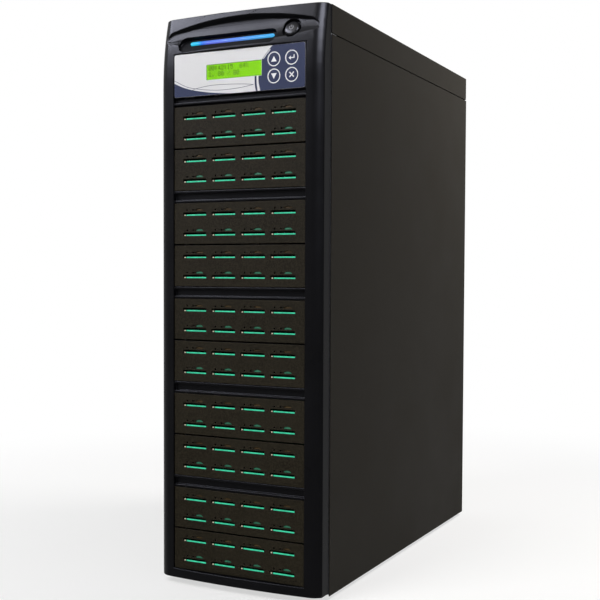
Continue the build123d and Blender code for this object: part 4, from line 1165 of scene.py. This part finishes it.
def blade_mesh():
    """One fan blade along the first axis, twisted and cambered, from inside the hub to a rounded tip."""
    inner, outer, spans, chords = 16.2 * MM, 36.4 * MM, 8, 8
    root_tilt, tip_tilt, camber, thick, thinning = radians(40), radians(28), 2.6 * MM, 1.1 * MM, 0.6
    root_half, widening = 9.0, 3.0
    work = bmesh.new()
    rows = {}
    for side in (0, 1):
        for i in range(spans + 1):
            share = i / spans
            radius = inner + (outer - inner) * share
            half = (root_half + widening * share) * MM
            tilt = root_tilt + (tip_tilt - root_tilt) * share
            for j in range(chords + 1):
                t = 2 * j / chords - 1
                along = half * t
                rise = camber * (1 - t * t) - side * thick * (1 - thinning * t * t)
                bend = (along * cos(tilt) - rise * sin(tilt)) / radius
                z = along * sin(tilt) + rise * cos(tilt)
                rows[side, i, j] = work.verts.new((radius * cos(bend), radius * sin(bend), z))
    for i in range(spans):
        for j in range(chords):
            for side in (0, 1):
                work.faces.new([rows[side, i, j], rows[side, i + 1, j], rows[side, i + 1, j + 1],
                                rows[side, i, j + 1]])
    rim = [(i, 0) for i in range(spans)] + [(spans, j) for j in range(chords)]
    rim += [(i, chords) for i in range(spans, 0, -1)] + [(0, j) for j in range(chords, 0, -1)]
    for (i, j), (k, m) in zip(rim, rim[1:] + rim[:1]):
        work.faces.new([rows[0, i, j], rows[0, k, m], rows[1, k, m], rows[1, i, j]])
    bmesh.ops.recalc_face_normals(work, faces=work.faces)
    return mesh_of("blade", work)


class DUPLICATOR_OT_power_and_cooling(bpy.types.Operator):
    """Make the power supply's case, the two fans and the rear panel"""

    bl_idname = "duplicator.power_and_cooling"
    bl_label = "Power Supply and Fans"

    def execute(self, context):
        for node in ("rear_panel", "power_supply_case"):
            dress_node(node, plated_sheet(), edge=0.25 * MM)
        for fan in ("psu_fan", "rear_fan"):
            dress_node(f"{fan}_frame", matt_black(), edge=0.5 * MM)
            self.rotor(fan)
        return {"FINISHED"}

    @staticmethod
    def rotor(fan):
        """Hub of a fan with its ring of blades."""
        node, blades, hub_gap = f"{fan}_rotor", 7, 4.5 * MM
        x, z = middle_of(f"{fan}_frame")
        low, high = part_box(node)
        hub_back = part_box(f"{fan}_frame")[1].y - hub_gap
        hub_l = hub_back - low.y
        place = Matrix(((1, 0, 0, x), (0, 0, 1, hub_back - hub_l / 2), (0, -1, 0, z), (0, 0, 0, 1)))
        mesh = grown_mesh("blades", ring_tree(), blade_mesh(), {"Count": blades, "Finish": matt_black()})
        mesh.transform(place)
        work = bmesh.new()
        take_in(work, mesh)
        half = hub_l / 2 / MM
        shaft_end = (high.y - hub_back) / MM + half
        hub = [(0, -half), (15.6, -half), (16.5, -half + 0.4), (17.0, -half + 1.4), (17.0, half),
               (1.5, half), (1.5, shaft_end), (0, shaft_end)]
        add_turned(work, in_mm(hub), place)
        stand_in(node, rounded_mesh(node, work), matt_black())


class DUPLICATOR_OT_mains_sockets(bpy.types.Operator):
    """Make the mains inlet, the switch housing and its rocker"""

    bl_idname = "duplicator.mains_sockets"
    bl_label = "Mains Inlet and Switch"

    def execute(self, context):
        for node in ("mains_inlet", "switch_housing", "rocker_switch"):
            dress_node(node, matt_black(), edge=0.3 * MM)
        return {"FINISHED"}


class DUPLICATOR_OT_inner_frame(bpy.types.Operator):
    """Finish the chassis, the drive cage and the wiring inside the case"""

    bl_idname = "duplicator.inner_frame"
    bl_label = "Inner Frame"

    def execute(self, context):
        for node in ("chassis_frame", "drive_cage_left", "drive_cage_right"):
            dress_node(node, plated_sheet(), edge=0.25 * MM)
        cable = surface("ribbon_cable", (0.09, 0.09, 0.1), roughness=0.5, grain=1.2 * MM,
                        depth=0.2 * MM, streaks=1.0)
        paint_node("wiring_harness", cable)
        return {"FINISHED"}


class DUPLICATOR_OT_stage(bpy.types.Operator):
    """Set up the floor, the room light, the lamps and the camera"""

    bl_idname = "duplicator.stage"
    bl_label = "Stage"

    def execute(self, context):
        self.camera(context)
        self.floor()
        self.room(context)
        self.lamps(context.scene.tower_stage)
        context.scene.view_settings.view_transform = "Standard"
        return {"FINISHED"}

    @staticmethod
    def camera(context):
        """Camera at the photograph's angle, with its off-centre frame."""
        yaw, pitch, roll = radians(24.917), radians(2.118), radians(0.359)
        ahead = Vector((-sin(yaw) * cos(pitch), cos(yaw) * cos(pitch), -sin(pitch)))
        level = Vector((cos(yaw), sin(yaw), 0.0))
        upright = level.cross(ahead)
        across = level * cos(roll) + upright * sin(roll)
        up = upright * cos(roll) - level * sin(roll)
        data = bpy.data.cameras.new("camera")
        data.lens = 59.57
        data.sensor_width = 36.0
        data.shift_x = -0.1013
        data.shift_y = 0.0221
        data.clip_start = 0.05
        data.clip_end = 50.0
        camera = new_object("camera", data)
        place = Matrix((across, up, -ahead)).transposed().to_4x4()
        place.translation = Vector((0.5155, -1.0308, 0.3118))
        camera.matrix_world = place
        context.scene.camera = camera

    @staticmethod
    def floor():
        """Pale floor that keeps the tower's shadow, and is white in gloss, through glass and far off."""
        near, far, near_share, half = 0.2, 1.0, 0.6, 4.0
        material = bpy.data.materials.new("pale_floor")
        material.use_nodes = True
        tree = material.node_tree
        shader = tree.nodes["Principled BSDF"]
        shader.inputs["Roughness"].default_value = 0.9
        shader.inputs["Specular IOR Level"].default_value = 0.0
        tone = use_group(tree, uneven_tone_group(), Colour=(0.93, 0.93, 0.93, 1.0), Spread=0.01)
        tree.links.new(tone.outputs["Colour"], shader.inputs["Base Color"])
        white = add_node(tree, "ShaderNodeEmission", {"Strength": 1.0})
        rays = add_node(tree, "ShaderNodeLightPath").outputs
        distance = add_node(tree, "ShaderNodeVectorMath", {0: object_place(tree)}, operation="LENGTH")
        share = remap(tree, distance.outputs["Value"], near, far, near_share, 1.0,
                      interpolation_type="SMOOTHSTEP")
        seen = calculate(tree, "MULTIPLY", rays["Is Camera Ray"], share)
        bright = calculate(tree, "MAXIMUM", rays["Is Glossy Ray"], rays["Is Transmission Ray"])
        mixed = add_node(tree, "ShaderNodeMixShader", {0: calculate(tree, "MAXIMUM", seen, bright),
                                                       1: shader.outputs[0], 2: white.outputs[0]})
        tree.links.new(mixed.outputs[0], tree.nodes["Material Output"].inputs["Surface"])
        mesh = bpy.data.meshes.new("floor")
        mesh.from_pydata([(-half, -half, 0), (half, -half, 0), (half, half, 0), (-half, half, 0)], [],
                         [(0, 1, 2, 3)])
        mesh.materials.append(material)
        new_object("floor", mesh)

    @staticmethod
    def room(context):
        """Even light from all round, and a white background for camera, glossy and transmitted rays."""
        white_colour = (1.0, 1.0, 1.0, 1.0)
        world = bpy.data.worlds.new("room")
        context.scene.world = world
        world.use_nodes = True
        tree = world.node_tree
        tree.nodes.clear()
        light, white = [add_node(tree, "ShaderNodeBackground", {"Color": white_colour,
                                                                "Strength": strength})
                        for strength in (context.scene.tower_stage.room_light, 1.0)]
        rays = add_node(tree, "ShaderNodeLightPath").outputs
        share = calculate(tree, "MAXIMUM", rays["Is Camera Ray"], rays["Is Glossy Ray"])
        share = calculate(tree, "MAXIMUM", share, rays["Is Transmission Ray"])
        mixed = add_node(tree, "ShaderNodeMixShader", {0: share, 1: light.outputs[0],
                                                       2: white.outputs[0]})
        add_node(tree, "ShaderNodeOutputWorld", {"Surface": mixed.outputs[0]})

    @staticmethod
    def lamps(stage):
        """Soft lamps in front and behind the side, and two cards of light that only show as gloss."""
        cool, warm, plain = (0.82, 0.84, 1.0), (1.0, 0.97, 0.93), (1.0, 0.99, 0.98)
        for name, power, place, aim, width, height, colour, diffuse, glossy in (
                ("front_lamp", stage.front_light, (-0.55, -1.35, 1.75), (0.0, -0.2, 0.45), 0.9, 0.9,
                 plain, True, True),
                ("side_lamp", stage.side_light, (0.44, 0.42, 0.84), (0.09, 0.15, 0.6), 0.3, 0.3,
                 warm, True, False),
                ("brow_card", stage.brow_gloss, (-1.2, -1.15, 1.55), (0.0, -0.2, 0.54), 1.4, 0.7,
                 cool, False, True),
                ("corner_card", stage.corner_gloss, (0.8, -1.05, 1.3), (0.09, -0.2, 0.55), 0.35, 0.5,
                 cool, False, True)):
            data = bpy.data.lights.new(name, "AREA")
            data.shape = "RECTANGLE"
            data.size = width
            data.size_y = height
            data.energy = power
            data.color = colour
            lamp = new_object(name, data)
            lamp.location = place
            towards = Vector(aim) - Vector(place)
            lamp.rotation_euler = towards.to_track_quat("-Z", "Y").to_euler()
            lamp.visible_diffuse = diffuse
            lamp.visible_transmission = diffuse
            lamp.visible_glossy = glossy
            lamp.visible_camera = False


OPERATORS = (
    DUPLICATOR_OT_stage, DUPLICATOR_OT_case_sheets, DUPLICATOR_OT_front_bezel,
    DUPLICATOR_OT_reader_faceplates, DUPLICATOR_OT_card_readers, DUPLICATOR_OT_control_panel,
    DUPLICATOR_OT_keys, DUPLICATOR_OT_light_bar, DUPLICATOR_OT_power_button,
    DUPLICATOR_OT_screws_and_feet, DUPLICATOR_OT_power_and_cooling, DUPLICATOR_OT_mains_sockets,
    DUPLICATOR_OT_inner_frame,
)


class DUPLICATOR_PT_panel(bpy.types.Panel):
    """Lists the tower's pieces and settings"""

    bl_idname = "DUPLICATOR_PT_panel"
    bl_label = "SD Card Duplicator"
    bl_space_type = "VIEW_3D"
    bl_region_type = "UI"
    bl_category = "Duplicator"

    def draw(self, context):
        layout = self.layout
        for group in (sizes(), colours(), context.scene.tower_stage):
            box = layout.box()
            for key in group.__annotations__:
                box.prop(group, key)
        for operator in OPERATORS:
            layout.operator(operator.bl_idname)


CLASSES = (TowerSizes, TowerColours, TowerStage, *OPERATORS, DUPLICATOR_PT_panel)


def register():
    """Register the classes and put the settings on the scene."""
    for cls in CLASSES:
        bpy.utils.register_class(cls)
    bpy.types.Scene.tower_sizes = PointerProperty(type=TowerSizes)
    bpy.types.Scene.tower_colours = PointerProperty(type=TowerColours)
    bpy.types.Scene.tower_stage = PointerProperty(type=TowerStage)


def unregister():
    """Take the settings and the classes away again."""
    del bpy.types.Scene.tower_stage
    del bpy.types.Scene.tower_colours
    del bpy.types.Scene.tower_sizes
    for cls in reversed(CLASSES):
        bpy.utils.unregister_class(cls)


def main():
    """Build every piece."""
    register()
    for operator in OPERATORS:
        module, name = operator.bl_idname.split(".")
        getattr(getattr(bpy.ops, module), name)()


if __name__ == "__main__":
    main()
